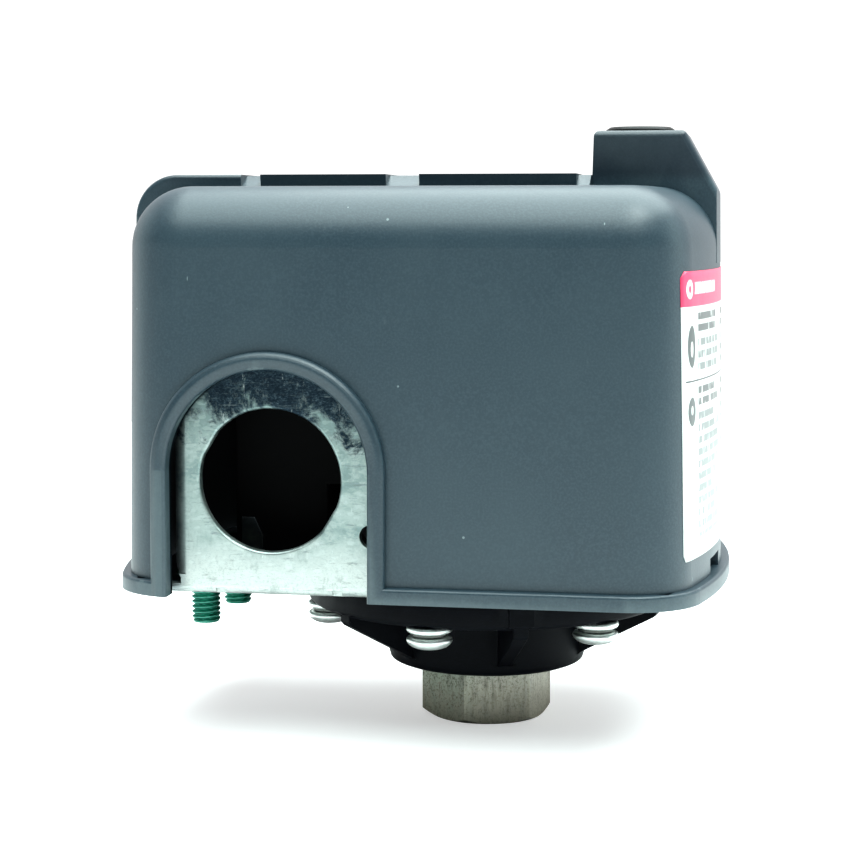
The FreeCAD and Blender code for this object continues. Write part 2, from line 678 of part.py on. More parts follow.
def main_lever():
    """Steel channel, open downwards, hinged at its left end. The springs press on its right half."""
    half = LEVER_HALF_WIDTH
    top = block(PIVOT_X + 5, RANGE_X + 8, -half, half, LEVER_BOTTOM, LEVER_TOP)
    web = prism_xz([
        (PIVOT_X - 3.2, PIVOT_Z - 1.5),
        (PIVOT_X - 1.2, PIVOT_Z - 3.4),
        (PIVOT_X + 4, PIVOT_Z - 3.4),
        (RANGE_X + 2, PIVOT_Z - 2.4),
        (RANGE_X + 8, LEVER_BOTTOM - 0.5),
        (RANGE_X + 8, LEVER_TOP),
        (PIVOT_X + 1.5, LEVER_TOP),
        (PIVOT_X - 2.2, PIVOT_Z + 2.4),
        (PIVOT_X - 3.2, PIVOT_Z + 1.2),
    ], -half, -half + SHEET)
    arm = block(-1.2, -1.2 + SHEET, -7.0, 7.0, LEVER_BOTTOM, CARRIER_Z - 4.2)
    shape = fused([top, arm] + mirrored(web))
    shape = shape.cut(rod_y(PIVOT_R + RUNNING_GAP, -half - 1, half + 1, PIVOT_X, PIVOT_Z))
    shape = shape.cut(post(RANGE_STUD_R + 1.6, LEVER_BOTTOM - 5, LEVER_TOP + 1, RANGE_X))
    shape = shape.cut(post(DIFF_STUD_R + 1.2, LEVER_BOTTOM - 5, LEVER_TOP + 1, DIFF_X))
    return shape


def lever_pin():
    """Hinge pin with a groove near each end for its retaining clip."""
    end = EAR_INNER + SHEET + 2.0
    pin = rod_y(PIVOT_R, -end, end, PIVOT_X, PIVOT_Z)
    for side in mirrored(rod_y(PIVOT_R + 1, -end + 0.8, -end + 1.5, PIVOT_X, PIVOT_Z)):
        pin = pin.cut(side.cut(rod_y(PIVOT_R - 0.5, -end, end, PIVOT_X, PIVOT_Z)))
    return pin


def lever_pin_clips():
    end = EAR_INNER + SHEET + 2.0
    disc = rod_y(PIVOT_R + 1.8, -end + 0.85, -end + 1.45, PIVOT_X, PIVOT_Z)
    disc = disc.cut(rod_y(PIVOT_R - 0.48, -end - 1, -end + 3, PIVOT_X, PIVOT_Z))
    disc = disc.cut(block(PIVOT_X - 1.2, PIVOT_X + 1.2, -end - 1, -end + 3, PIVOT_Z - 6, PIVOT_Z))
    return group(mirrored(disc))


def main_spring(x, mean_r, wire_r, top, turns):
    """Compression spring between the lever's cup and its washer, just clear of both."""
    return spring(mean_r, wire_r, SEAT_TOP + SPRING_GAP, top - SPRING_GAP, turns, x)


def stud(x, r, top, collar_r):
    """Upright stud riveted flush in the base plate, with a collar that stands on it."""
    return turned([
        (0, BASE_BOTTOM),
        (r, BASE_BOTTOM),
        (r, BASE_TOP),
        (collar_r, BASE_TOP),
        (collar_r, BASE_TOP + 2.2),
        (r, BASE_TOP + 2.2),
        (r, top - 0.7),
        (r - 0.6, top),
        (0, top),
    ], x)


def spring_cup(x, spring_r, wire_r, hole_r):
    """Pressed seat between the lever and a spring. Its short collar centres the spring."""
    inner = spring_r - wire_r - 0.35
    return turned([
        (hole_r, LEVER_TOP),
        (spring_r + wire_r + 0.5, LEVER_TOP),
        (spring_r + wire_r + 0.5, SEAT_TOP),
        (inner, SEAT_TOP),
        (inner - 0.2, SEAT_TOP + 1.4),
        (hole_r, SEAT_TOP + 1.4),
    ], x)


def spring_washer(x, spring_r, wire_r, stud_r, z):
    """Upper seat of a spring, under its nut."""
    inner = spring_r - wire_r - 0.35
    return turned([
        (stud_r + 0.2, z - 1.2),
        (inner - 0.3, z - 1.2),
        (inner, z),
        (spring_r + wire_r + 0.4, z),
        (spring_r + wire_r + 0.4, z + SPRING_WASHER_T),
        (stud_r + 0.2, z + SPRING_WASHER_T),
    ], x)


def hex_nut(x, across, stud_r, z0, height):
    shape = hexagon(across, z0, z0 + height, x)
    corner_r = across / math.sqrt(3)
    envelope = turned([
        (0, z0),
        (corner_r - 0.5, z0),
        (corner_r + 0.05, z0 + 0.5),
        (corner_r + 0.05, z0 + height - 0.5),
        (corner_r - 0.5, z0 + height),
        (0, z0 + height),
    ], x)
    return shape.common(envelope).cut(post(stud_r + RUNNING_GAP, z0 - 1, z0 + height + 1, x))


# ---- contact block ----


def contact_block():
    """Moulded insulating block: a deck for the terminals, barriers between them, and cheeks for the pin."""
    half = BLOCK_HALF_DEPTH
    body = block(BLOCK_LEFT, BLOCK_RIGHT, -half, half, BLOCK_BOTTOM, BLOCK_DECK)
    step = block(BLOCK_LEFT, BLOCK_LEFT + 3.0, -half, half, BLOCK_DECK - 7, BLOCK_DECK + 1)
    ear = EAR_INNER + 3
    under = block(PIVOT_X - 6, BLOCK_RIGHT + 1, -ear, ear, BLOCK_BOTTOM - 1, BLOCK_BOTTOM + 1)
    shape = body.cut(step).cut(under)
    barriers = []
    for y in (-half + 0.9, -10.0, 0.0, 10.0, half - 0.9):
        barriers.append(block(BLOCK_LEFT, BLOCK_RIGHT, y - 0.9, y + 0.9, BLOCK_DECK - 7, BARRIER_TOP))
    cheek = prism_xz([
        (BLOCK_RIGHT - 1, BLOCK_BOTTOM),
        (CARRIER_X + 3.2, BLOCK_BOTTOM),
        (CARRIER_X + 3.2, CARRIER_Z + 3.0),
        (BLOCK_RIGHT - 1, CARRIER_Z + 9.0),
    ], -half, -CARRIER_HALF_DEPTH - 0.4)
    wing_z = BLOCK_SCREW_Z - 4
    wing = block(BLOCK_RIGHT - 3, BLOCK_SCREW_X + 3.6, -BRACKET_INNER, -half + 1, wing_z, wing_z + 8)
    skirt = block(BLOCK_LEFT, SKIRT_RIGHT, -half, half, SKIRT_BOTTOM, BLOCK_BOTTOM)
    inside = half - 2
    skirt = skirt.cut(block(BLOCK_LEFT + 2, SKIRT_RIGHT + 1, -inside, inside, SKIRT_BOTTOM - 1, BLOCK_BOTTOM))
    shape = fused([shape, skirt] + barriers + mirrored(cheek) + mirrored(wing))
    shape = shape.cut(rod_y(CARRIER_PIN_R + 0.02, -half - 1, half + 1, CARRIER_X, CARRIER_Z))
    for y in TERMINAL_YS:
        shape = shape.cut(post(1.9, BLOCK_DECK - 9, BLOCK_DECK + 2, TERMINAL_SCREW_X, y))
    for hole in mirrored(countersunk(1.55, 3.0)):
        shape = shape.cut(hole)
    for x, y in GROUND_SPOTS.values():
        shape = shape.cut(post(GROUND_WASHER_R + 0.7, BASE_TOP, BASE_TOP + 5, x, y))
    return shape


def block_screws():
    """Flat-head slotted screws through the bracket's uprights into the contact block."""
    y = -BRACKET_HALF_DEPTH
    x = BLOCK_SCREW_X
    z = BLOCK_SCREW_Z
    slot = block(x - 4, x + 4, y - 1, y + 0.6, z - 0.35, z + 0.35)
    return group(mirrored(countersunk(1.5, 2.93).cut(slot)))


def terminal(y):
    """Plate on the deck with an upright tab at its right end that carries the fixed contact."""
    half = TERMINAL_WIDTH / 2
    plate = block(BLOCK_LEFT + 3.2, TAB_X, y - half, y + half, BLOCK_DECK, BLOCK_DECK + TERMINAL_T)
    tab = block(TAB_X - TERMINAL_T, TAB_X, y - half, y + half, BLOCK_DECK, CONTACT_Z + 2.8)
    shape = plate.fuse(tab).removeSplitter()
    return shape.cut(post(1.85, BLOCK_DECK - 1, BLOCK_DECK + 3, TERMINAL_SCREW_X, y))


def fixed_contacts():
    return group([rod_x(CONTACT_R, TAB_X, TAB_X + 0.9, y, CONTACT_Z) for y in TERMINAL_YS])


def terminal_screw(y):
    """Slotted binding-head screw over the clamp plate."""
    z = BLOCK_DECK + TERMINAL_T + 1.6
    x = TERMINAL_SCREW_X
    body = turned([
        (0, BLOCK_DECK - 6),
        (1.75, BLOCK_DECK - 6),
        (1.75, z),
        (3.2, z),
        (3.3, z + 0.6),
        (2.9, z + 1.7),
        (2.2, z + 2.1),
        (0, z + 2.2),
    ], x, y)
    return body.cut(block(x - 5, x + 5, y - 0.45, y + 0.45, z + 1.0, z + 4))


def terminal_clamp(y):
    """Saddle plate with two turned-down edges that trap the wire on the terminal."""
    z = BLOCK_DECK + TERMINAL_T
    x0 = TERMINAL_SCREW_X - 3.4
    x1 = TERMINAL_SCREW_X + 3.4
    half = CLAMP_HALF
    plate = block(x0, x1, y - half, y + half, z + 0.8, z + 1.6)
    near_lip = block(x0, x1, y - half, y - half + 0.7, z, z + 1.6)
    far_lip = block(x0, x1, y + half - 0.7, y + half, z, z + 1.6)
    return fused([plate, near_lip, far_lip]).cut(post(1.85, z - 1, z + 3, TERMINAL_SCREW_X, y))


def contact_carrier():
    """Rocking insulator on its pin: two barrels, an upright plate, a short tail and pegs for the springs."""
    half = CARRIER_HALF_DEPTH
    right = CARRIER_LEFT + CARRIER_T
    plate = block(CARRIER_LEFT, right, -half, half, CARRIER_Z + 3.4, CARRIER_TOP)
    tail = block(CARRIER_LEFT + 0.2, right - 0.2, -7.0, -5.0, CARRIER_Z - 5.0, CARRIER_Z)
    parts = [plate] + mirrored(tail)
    for side in mirrored(rod_y(3.2, -half, -4.6, CARRIER_X, CARRIER_Z)):
        parts.append(side)
    for side in mirrored(block(CARRIER_LEFT, right, -half, -4.6, CARRIER_Z, CARRIER_Z + 4)):
        parts.append(side)
    for y in (-10.0, 10.0):
        parts.append(rod_x(0.9, BRIDGE_X + BRIDGE_T + 0.6, CARRIER_LEFT + 1, y, CONTACT_Z))
    shape = fused(parts)
    window = block(CARRIER_LEFT - 1, right + 1, -4.0, 4.0, CARRIER_Z + 8, CARRIER_TOP - 8)
    hole = rod_y(CARRIER_PIN_R + RUNNING_GAP, -half - 1, half + 1, CARRIER_X, CARRIER_Z)
    return shape.cut(window).cut(hole)


def carrier_pin():
    return rod_y(CARRIER_PIN_R, -BLOCK_HALF_DEPTH, BLOCK_HALF_DEPTH, CARRIER_X, CARRIER_Z)


def contact_bridge(y):
    """Bar that joins the two contacts of one pole."""
    half = 8.0
    tall = 2.3
    bar = block(BRIDGE_X, BRIDGE_X + BRIDGE_T, y - half, y + half, CONTACT_Z - tall, CONTACT_Z + tall)
    corners = edges_where(bar, lambda p: abs(p.y - y) > half - 0.01 and abs(p.z - CONTACT_Z) > tall - 0.01)
    return bar.makeFillet(1.2, corners)


def moving_contacts():
    face = TAB_X + 0.9
    return group([rod_x(CONTACT_R, face + 0.02, BRIDGE_X, y, CONTACT_Z) for y in TERMINAL_YS])


def contact_spring(y):
    """Small spring that presses a bridge away from the carrier."""
    coil = spring(1.55, 0.25, 0, CARRIER_LEFT - BRIDGE_X - BRIDGE_T - 0.1, 3.0)
    coil.rotate(CENTRE, ALONG_Y, 90)
    coil.translate(FreeCAD.Vector(BRIDGE_X + BRIDGE_T + 0.05, y, CONTACT_Z))
    return coil


def snap_spring():
    """Torsion spring on the carrier's pin, between its two barrels."""
    coil = spring(2.3, 0.35, 0, 7.6, 6.0)
    coil.rotate(CENTRE, ALONG_X, -90)
    coil.translate(FreeCAD.Vector(CARRIER_X, -3.8, CARRIER_Z))
    return coil


# ---- ground screws ----


def ground_screw(x, y):
    """Hex washer-head screw, slotted, that stands down through the base plate."""
    shank = turned([
        (0, GROUND_TIP),
        (GROUND_R - 0.7, GROUND_TIP),
        (GROUND_R, GROUND_TIP + 0.9),
        (GROUND_R, BASE_TOP),
        (GROUND_WASHER_R, BASE_TOP),
        (GROUND_WASHER_R, BASE_TOP + 0.9),
        (0, BASE_TOP + 0.9),
    ], x, y)
    head = hexagon(7.9, BASE_TOP + 0.9, BASE_TOP + 3.7, x, y, 14)
    head = head.common(turned([
        (0, BASE_TOP),
        (GROUND_WASHER_R, BASE_TOP),
        (GROUND_WASHER_R, BASE_TOP + 3.2),
        (4.0, BASE_TOP + 3.7),
        (0, BASE_TOP + 3.7),
    ], x, y))
    shape = shank.fuse(head).removeSplitter()
    return shape.cut(block(x - 6, x + 6, y - 0.6, y + 0.6, BASE_TOP + 2.2, BASE_TOP + 5))


def range_parts():
    """Stud, spring, seats and nut that set the pressure at which the contacts open."""
    top = RANGE_SPRING_TOP
    return {
        "range_stud": stud(RANGE_X, RANGE_STUD_R, RANGE_STUD_TOP, 4.0),
        "range_spring": main_spring(RANGE_X, RANGE_SPRING_R, RANGE_WIRE_R, top, 9.0),
        "range_spring_cup": spring_cup(RANGE_X, RANGE_SPRING_R, RANGE_WIRE_R, RANGE_STUD_R + 1.2),
        "range_spring_washer": spring_washer(RANGE_X, RANGE_SPRING_R, RANGE_WIRE_R, RANGE_STUD_R, top),
        "range_nut": hex_nut(RANGE_X, 9.5, RANGE_STUD_R, top + SPRING_WASHER_T, 5.0),
    }


def differential_parts():
    """The smaller stud, spring, seats and nut that set the gap between opening and closing."""
    top = DIFF_SPRING_TOP
    return {
        "differential_stud": stud(DIFF_X, DIFF_STUD_R, DIFF_STUD_TOP, 3.2),
        "differential_spring": main_spring(DIFF_X, DIFF_SPRING_R, DIFF_WIRE_R, top, 8.0),
        "differential_spring_cup": spring_cup(DIFF_X, DIFF_SPRING_R, DIFF_WIRE_R, DIFF_STUD_R + 0.5),
        "differential_spring_washer": spring_washer(DIFF_X, DIFF_SPRING_R, DIFF_WIRE_R, DIFF_STUD_R, top),
        "differential_nut": hex_nut(DIFF_X, 8.0, DIFF_STUD_R, top + SPRING_WASHER_T, 3.6),
    }


def all_parts():
    parts = {
        "pressure_port": pressure_port(),
        "diaphragm_housing": diaphragm_housing(),
        "diaphragm": diaphragm(),
        "plunger": plunger(),
        "housing_screws": housing_screws(),
        "housing_lock_washers": housing_lock_washers(),
        "housing_flat_washers": housing_flat_washers(),
        "base_plate": base_plate(),
        "side_plate_front": side_plate(),
        "side_plate_rear": side_plate().mirror(CENTRE, ALONG_Y),
        "pivot_bracket": pivot_bracket(),
        "block_clips": block_clips(),
        "cover": cover(),
        "cover_label": cover_label(),
        "cover_nut": cover_nut(),
        "main_lever": main_lever(),
        "lever_pin": lever_pin(),
        "lever_pin_clips": lever_pin_clips(),
        "contact_block": contact_block(),
        "block_screws": block_screws(),
        "fixed_contacts": fixed_contacts(),
        "terminal_screws": group([terminal_screw(y) for y in TERMINAL_YS]),
        "terminal_clamps": group([terminal_clamp(y) for y in TERMINAL_YS]),
        "contact_carrier": contact_carrier(),
        "carrier_pin": carrier_pin(),
        "moving_contacts": moving_contacts(),
        "snap_spring": snap_spring(),
    }
    parts.update(range_parts())
    parts.update(differential_parts())
    for number, y in enumerate(TERMINAL_YS, 1):
        parts[f"terminal_{number}"] = terminal(y)
    for name, y in (("front", -10.0), ("rear", 10.0)):
        parts[f"contact_bridge_{name}"] = contact_bridge(y)
        parts[f"contact_spring_{name}"] = contact_spring(y)
    for name, (x, y) in GROUND_SPOTS.items():
        parts[f"ground_screw_{name}"] = ground_screw(x, y)
    return parts


os.makedirs("parts", exist_ok=True)
for name, shape in all_parts().items():
    print(name, round(shape.Volume, 2), shape.isValid(), len(shape.Solids))
    shape.exportStep(f"parts/{name}.step")
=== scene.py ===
import bmesh
import bpy
import json
import math
from mathutils import Matrix, Vector
from mathutils.bvhtree import BVHTree


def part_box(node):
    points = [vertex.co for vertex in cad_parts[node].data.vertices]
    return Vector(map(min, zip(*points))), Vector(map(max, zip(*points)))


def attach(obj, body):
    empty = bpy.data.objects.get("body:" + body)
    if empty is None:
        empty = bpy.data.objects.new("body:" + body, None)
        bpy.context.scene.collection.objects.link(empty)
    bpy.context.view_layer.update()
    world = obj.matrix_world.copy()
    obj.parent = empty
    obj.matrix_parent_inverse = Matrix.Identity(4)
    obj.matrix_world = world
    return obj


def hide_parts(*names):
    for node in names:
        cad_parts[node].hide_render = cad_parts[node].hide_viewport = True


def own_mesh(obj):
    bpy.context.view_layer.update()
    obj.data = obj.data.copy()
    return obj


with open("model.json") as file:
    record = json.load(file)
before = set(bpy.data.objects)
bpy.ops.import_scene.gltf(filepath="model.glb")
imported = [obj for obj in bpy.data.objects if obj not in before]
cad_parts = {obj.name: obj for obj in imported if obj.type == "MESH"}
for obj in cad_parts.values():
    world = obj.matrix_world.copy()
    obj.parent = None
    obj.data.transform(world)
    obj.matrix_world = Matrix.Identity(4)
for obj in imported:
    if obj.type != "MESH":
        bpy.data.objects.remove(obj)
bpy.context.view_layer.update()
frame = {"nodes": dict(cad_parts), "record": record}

# Looks of the pump pressure switch, in metres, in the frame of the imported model: the origin is the middle of
# the pressure port's mouth, +Z runs up, +X points to the range spring and Y runs across the case.
# The mesh helpers take millimetres.

MM = 0.001

# The cover: its middle, its two bowed ends, where its hollow begins behind the flat walls, the bowed walls
# and the roof (the faces inside get painted shade), the heights between which its raised deck is painted
# darker as shade, and the arch over each conduit hole.
COVER_MIDDLE = (-0.009, 0.0, 0.050)
COVER_LEFT = -0.057
COVER_RIGHT = 0.039
COVER_BOW_R = 0.107
HOLLOW_Y = 0.0349
HOLLOW_BOW_R = COVER_BOW_R - 0.0009
HOLLOW_TOP = 0.0870
DECK_LOW = 0.0885
DECK_HIGH = 0.0905
ARCH_X = -0.02895
ARCH_Z = 0.0445
ARCH_R = 0.01575
ARCH_BEAD_R = 0.01845

# The side plates: the depth of their inner faces, which are painted in shade, and the heights between which
# the painted dark reflection begins.
PLATE_INNER_Y = 0.0313
DARK_REFLECTION_LOW = 0.0462
DARK_REFLECTION_HIGH = 0.0512

# How far a change of colour spreads where one face ends and the next begins.
SEAM = 0.0004

# The camera, fitted to the photograph.
CAMERA_PLACE = (0.04528, -0.32504, 0.08276)
CAMERA_FORWARD = (-0.16858, 0.98025, -0.10336)
CAMERA_LENS_MM = 83.44
SENSOR_MM = 36.0

NODES = frame["nodes"]


# ---- node-tree helpers ----


class Tree:
    """A material's node tree, with short calls for the nodes that the materials share."""

    def __init__(self, name):
        self.material = bpy.data.materials.new(name)
        self.material.use_nodes = True
        self.nodes = self.material.node_tree.nodes
        self.links = self.material.node_tree.links
        self.shader = self.nodes["Principled BSDF"]
        self.place = self.nodes.new("ShaderNodeTexCoord").outputs["Object"]

    def link(self, value, socket):
        """Sets a socket from a number, a colour or another node's output."""
        if isinstance(value, bpy.types.NodeSocket):
            self.links.new(value, socket)
        elif isinstance(value, tuple) and len(value) == 3 and socket.type == "RGBA":
            socket.default_value = (*value, 1.0)
        else:
            socket.default_value = value

    def stretched(self, scale, shift=(0, 0, 0)):
        """The place scaled along each axis, so that a pattern looks drawn out, then moved."""
        node = self.nodes.new("ShaderNodeMapping")
        self.links.new(self.place, node.inputs["Vector"])
        node.inputs["Scale"].default_value = scale
        node.inputs["Location"].default_value = shift
        return node.outputs["Vector"]

    def noise(self, size_mm, detail=3.0, roughness=0.55, place=None, distortion=0.0):
        """Soft noise whose features are about size_mm across."""
        node = self.nodes.new("ShaderNodeTexNoise")
        self.links.new(place or self.place, node.inputs["Vector"])
        node.inputs["Scale"].default_value = 1.0 / (size_mm * MM)
        node.inputs["Detail"].default_value = detail
        node.inputs["Roughness"].default_value = roughness
        node.inputs["Distortion"].default_value = distortion
        return node.outputs["Fac"]

    def cells(self, size_mm, output="Color", place=None):
        """Cell pattern: each cell's own colour, or the distance from its middle."""
        node = self.nodes.new("ShaderNodeTexVoronoi")
        self.links.new(place or self.place, node.inputs["Vector"])
        node.inputs["Scale"].default_value = 1.0 / (size_mm * MM)
        return node.outputs[output]

    def ramp(self, value, stops):
        """Colour ramp. The stops are (position, colour) pairs."""
        node = self.nodes.new("ShaderNodeValToRGB")
        elements = node.color_ramp.elements
        while len(elements) < len(stops):
            elements.new(0.5)
        for element, (position, colour) in zip(elements, stops):
            element.position = position
            element.color = (*colour, 1.0)
        self.links.new(value, node.inputs["Fac"])
        return node.outputs["Color"]

    def mix(self, factor, a, b):
        """Colour that goes from a to b as the factor goes from 0 to 1."""
        node = self.nodes.new("ShaderNodeMix")
        node.data_type = "RGBA"
        self.link(factor, node.inputs[0])
        self.link(a, node.inputs[6])
        self.link(b, node.inputs[7])
        return node.outputs[2]

    def math(self, operation, a, b=0.0, c=0.0):
        """Result of one math node. Each of a, b and c is a number or another node's output."""
        node = self.nodes.new("ShaderNodeMath")
        node.operation = operation
        for value, socket in zip((a, b, c), node.inputs):
            self.link(value, socket)
        return node.outputs[0]

    def step(self, value, low, high):
        """Smooth 0 to 1 as the value goes from low to high."""
        node = self.nodes.new("ShaderNodeMapRange")
        node.interpolation_type = "SMOOTHSTEP"
        self.link(value, node.inputs["Value"])
        node.inputs["From Min"].default_value = low
        node.inputs["From Max"].default_value = high
        return node.outputs["Result"]

    def axes(self):
        """The place's x, y and z."""
        node = self.nodes.new("ShaderNodeSeparateXYZ")
        self.links.new(self.place, node.inputs[0])
        return node.outputs

    def bump(self, height, depth_mm, strength=1.0, normal=None):
        """Normal disturbed by a height, on top of another bump's normal if one is given."""
        node = self.nodes.new("ShaderNodeBump")
        node.inputs["Distance"].default_value = depth_mm * MM
        node.inputs["Strength"].default_value = strength
        self.links.new(height, node.inputs["Height"])
        if normal is not None:
            self.links.new(normal, node.inputs["Normal"])
        return node.outputs["Normal"]

    def edge_wear(self, low=0.52, high=0.60):
        """Near 1 on convex edges, broken up by noise."""
        point = self.nodes.new("ShaderNodeNewGeometry").outputs["Pointiness"]
        broken = self.math("MULTIPLY", self.noise(1.6, 4.0, 0.7), 0.05)
        return self.step(self.math("ADD", point, broken), low, high)

    def finish(self, color, roughness, metallic=0.0, normal=None, **constants):
        """Joins colour, roughness and normal to the shader, sets its constants, returns the material."""
        self.link(color, self.shader.inputs["Base Color"])
        self.link(roughness, self.shader.inputs["Roughness"])
        self.shader.inputs["Metallic"].default_value = metallic
        if normal is not None:
            self.links.new(normal, self.shader.inputs["Normal"])
        for name, value in constants.items():
            self.shader.inputs[name.replace("_", " ")].default_value = value
        return self.material


# ---- materials ----


def cover_plastic():
    """Blue-grey moulded plastic: fine spark texture, faint flow clouds, pale specks, rubbed edges that partly
    paint a highlight on the rims, painted shade inside the hollow and a raised deck painted darker as shade.
    """
    t = Tree("cover_plastic")
    clouds = t.noise(22, 3.0, 0.6)
    grain = t.noise(0.35, 2.0, 0.5)
    color = t.mix(t.step(clouds, 0.3, 0.7), (0.020, 0.040, 0.055), (0.026, 0.048, 0.063))
    color = t.mix(t.math("MULTIPLY", t.step(grain, 0.35, 0.75), 0.8), color, (0.035, 0.061, 0.078))
    specks = t.step(t.cells(8.0, "Distance"), 0.030, 0.018)
    drawn_out = t.stretched((1.0, 1.0, 0.22), (0.03, 0.01, 0.02))
    lint = t.step(t.cells(5.0, "Distance", drawn_out), 0.022, 0.012)
    scuffs = t.noise(5, 5.0, 0.75, t.stretched((1.0, 1.0, 0.35), (0.01, 0.02, 0.0)))
    scuffs = t.step(scuffs, 0.64, 0.74)
    color = t.mix(t.math("MULTIPLY", t.math("MAXIMUM", specks, lint), 0.45), color, (0.36, 0.44, 0.45))
    color = t.mix(t.math("MULTIPLY", scuffs, 0.10), color, (0.22, 0.28, 0.29))
    # Rubbed edges: partly real wear and partly a painted highlight where the rims catch the light.
    color = t.mix(t.math("MULTIPLY", t.edge_wear(0.54, 0.64), 0.22), color, (0.27, 0.34, 0.35))
    # Painted shade: the faces inside the hollow are made near black, rougher and less shiny, because light
    # hardly reaches them.
    inner = inner_faces(t)
    color = t.mix(t.math("MULTIPLY", inner, 0.92), color, (0.0008, 0.0012, 0.0018))
    # Painted shade: the raised deck above DECK_LOW is painted darker, because it sees little of the bright
    # floor.
    raised = t.step(t.axes()[2], DECK_LOW, DECK_HIGH)
    color = t.mix(t.math("MULTIPLY", raised, 0.60), color, (0.006, 0.013, 0.024))
    rough = t.math("MULTIPLY_ADD", clouds, 0.08, 0.36)
    rough = t.math("MULTIPLY_ADD", scuffs, 0.10, rough)
    rough = t.math("MULTIPLY_ADD", inner, 0.35, rough)
    t.link(t.math("MULTIPLY_ADD", inner, -0.62, 0.65), t.shader.inputs["Specular IOR Level"])
    texture = t.bump(grain, 0.03, 0.55)
    texture = t.bump(t.noise(1.1, 2.0), 0.02, 0.35, texture)
    texture = t.bump(arch_ridge(t), 0.45, 0.8, texture)
    return t.finish(color, rough, 0.0, texture)


def arch_ridge(t):
    """Rounded crown, 0 to 1, on the raised border that runs over each arch and down its legs."""
    x, _, z = t.axes()
    across = t.math("SUBTRACT", x, ARCH_X)
    above = t.math("MAXIMUM", t.math("SUBTRACT", z, ARCH_Z), 0.0)
    crown = 0.4 * ARCH_R + 0.6 * ARCH_BEAD_R
    reach = length_of(t, across, above)
    return t.math("MINIMUM", t.step(reach, ARCH_R, crown), t.step(reach, ARCH_BEAD_R, crown))


def length_of(t, a, b):
    """Length of the flat vector (a, b)."""
    return t.math("SQRT", t.math("ADD", t.math("MULTIPLY", a, a), t.math("MULTIPLY", b, b)))


def inner_faces(t):
    """1 on the faces that look into the cover's hollow, which the light hardly reaches."""
    away = t.nodes.new("ShaderNodeVectorMath")
    away.operation = "SUBTRACT"
    t.links.new(t.place, away.inputs[0])
    away.inputs[1].default_value = COVER_MIDDLE
    facing = t.nodes.new("ShaderNodeVectorMath")
    facing.operation = "DOT_PRODUCT"
    t.links.new(t.nodes.new("ShaderNodeTexCoord").outputs["Normal"], facing.inputs[0])
    t.links.new(away.outputs[0], facing.inputs[1])
    x, y, z = t.axes()
    inward = t.step(facing.outputs["Value"], -0.003, -0.006)
    side = t.step(t.math("ABSOLUTE", y), HOLLOW_Y, HOLLOW_Y - SEAM)
    low = t.step(z, HOLLOW_TOP, HOLLOW_TOP - SEAM)
    ends = t.math("MULTIPLY", round_wall(t, x, y, COVER_LEFT), round_wall(t, x, y, COVER_RIGHT))
    return t.math("MULTIPLY", t.math("MULTIPLY", inward, side), t.math("MULTIPLY", low, ends))


def round_wall(t, x, y, end):
    """1 inside the bowed wall whose outermost point is at x = end."""
    across = t.math("SUBTRACT", x, end + math.copysign(COVER_BOW_R, -end))
    return t.step(length_of(t, across, y), HOLLOW_BOW_R, HOLLOW_BOW_R - SEAM)


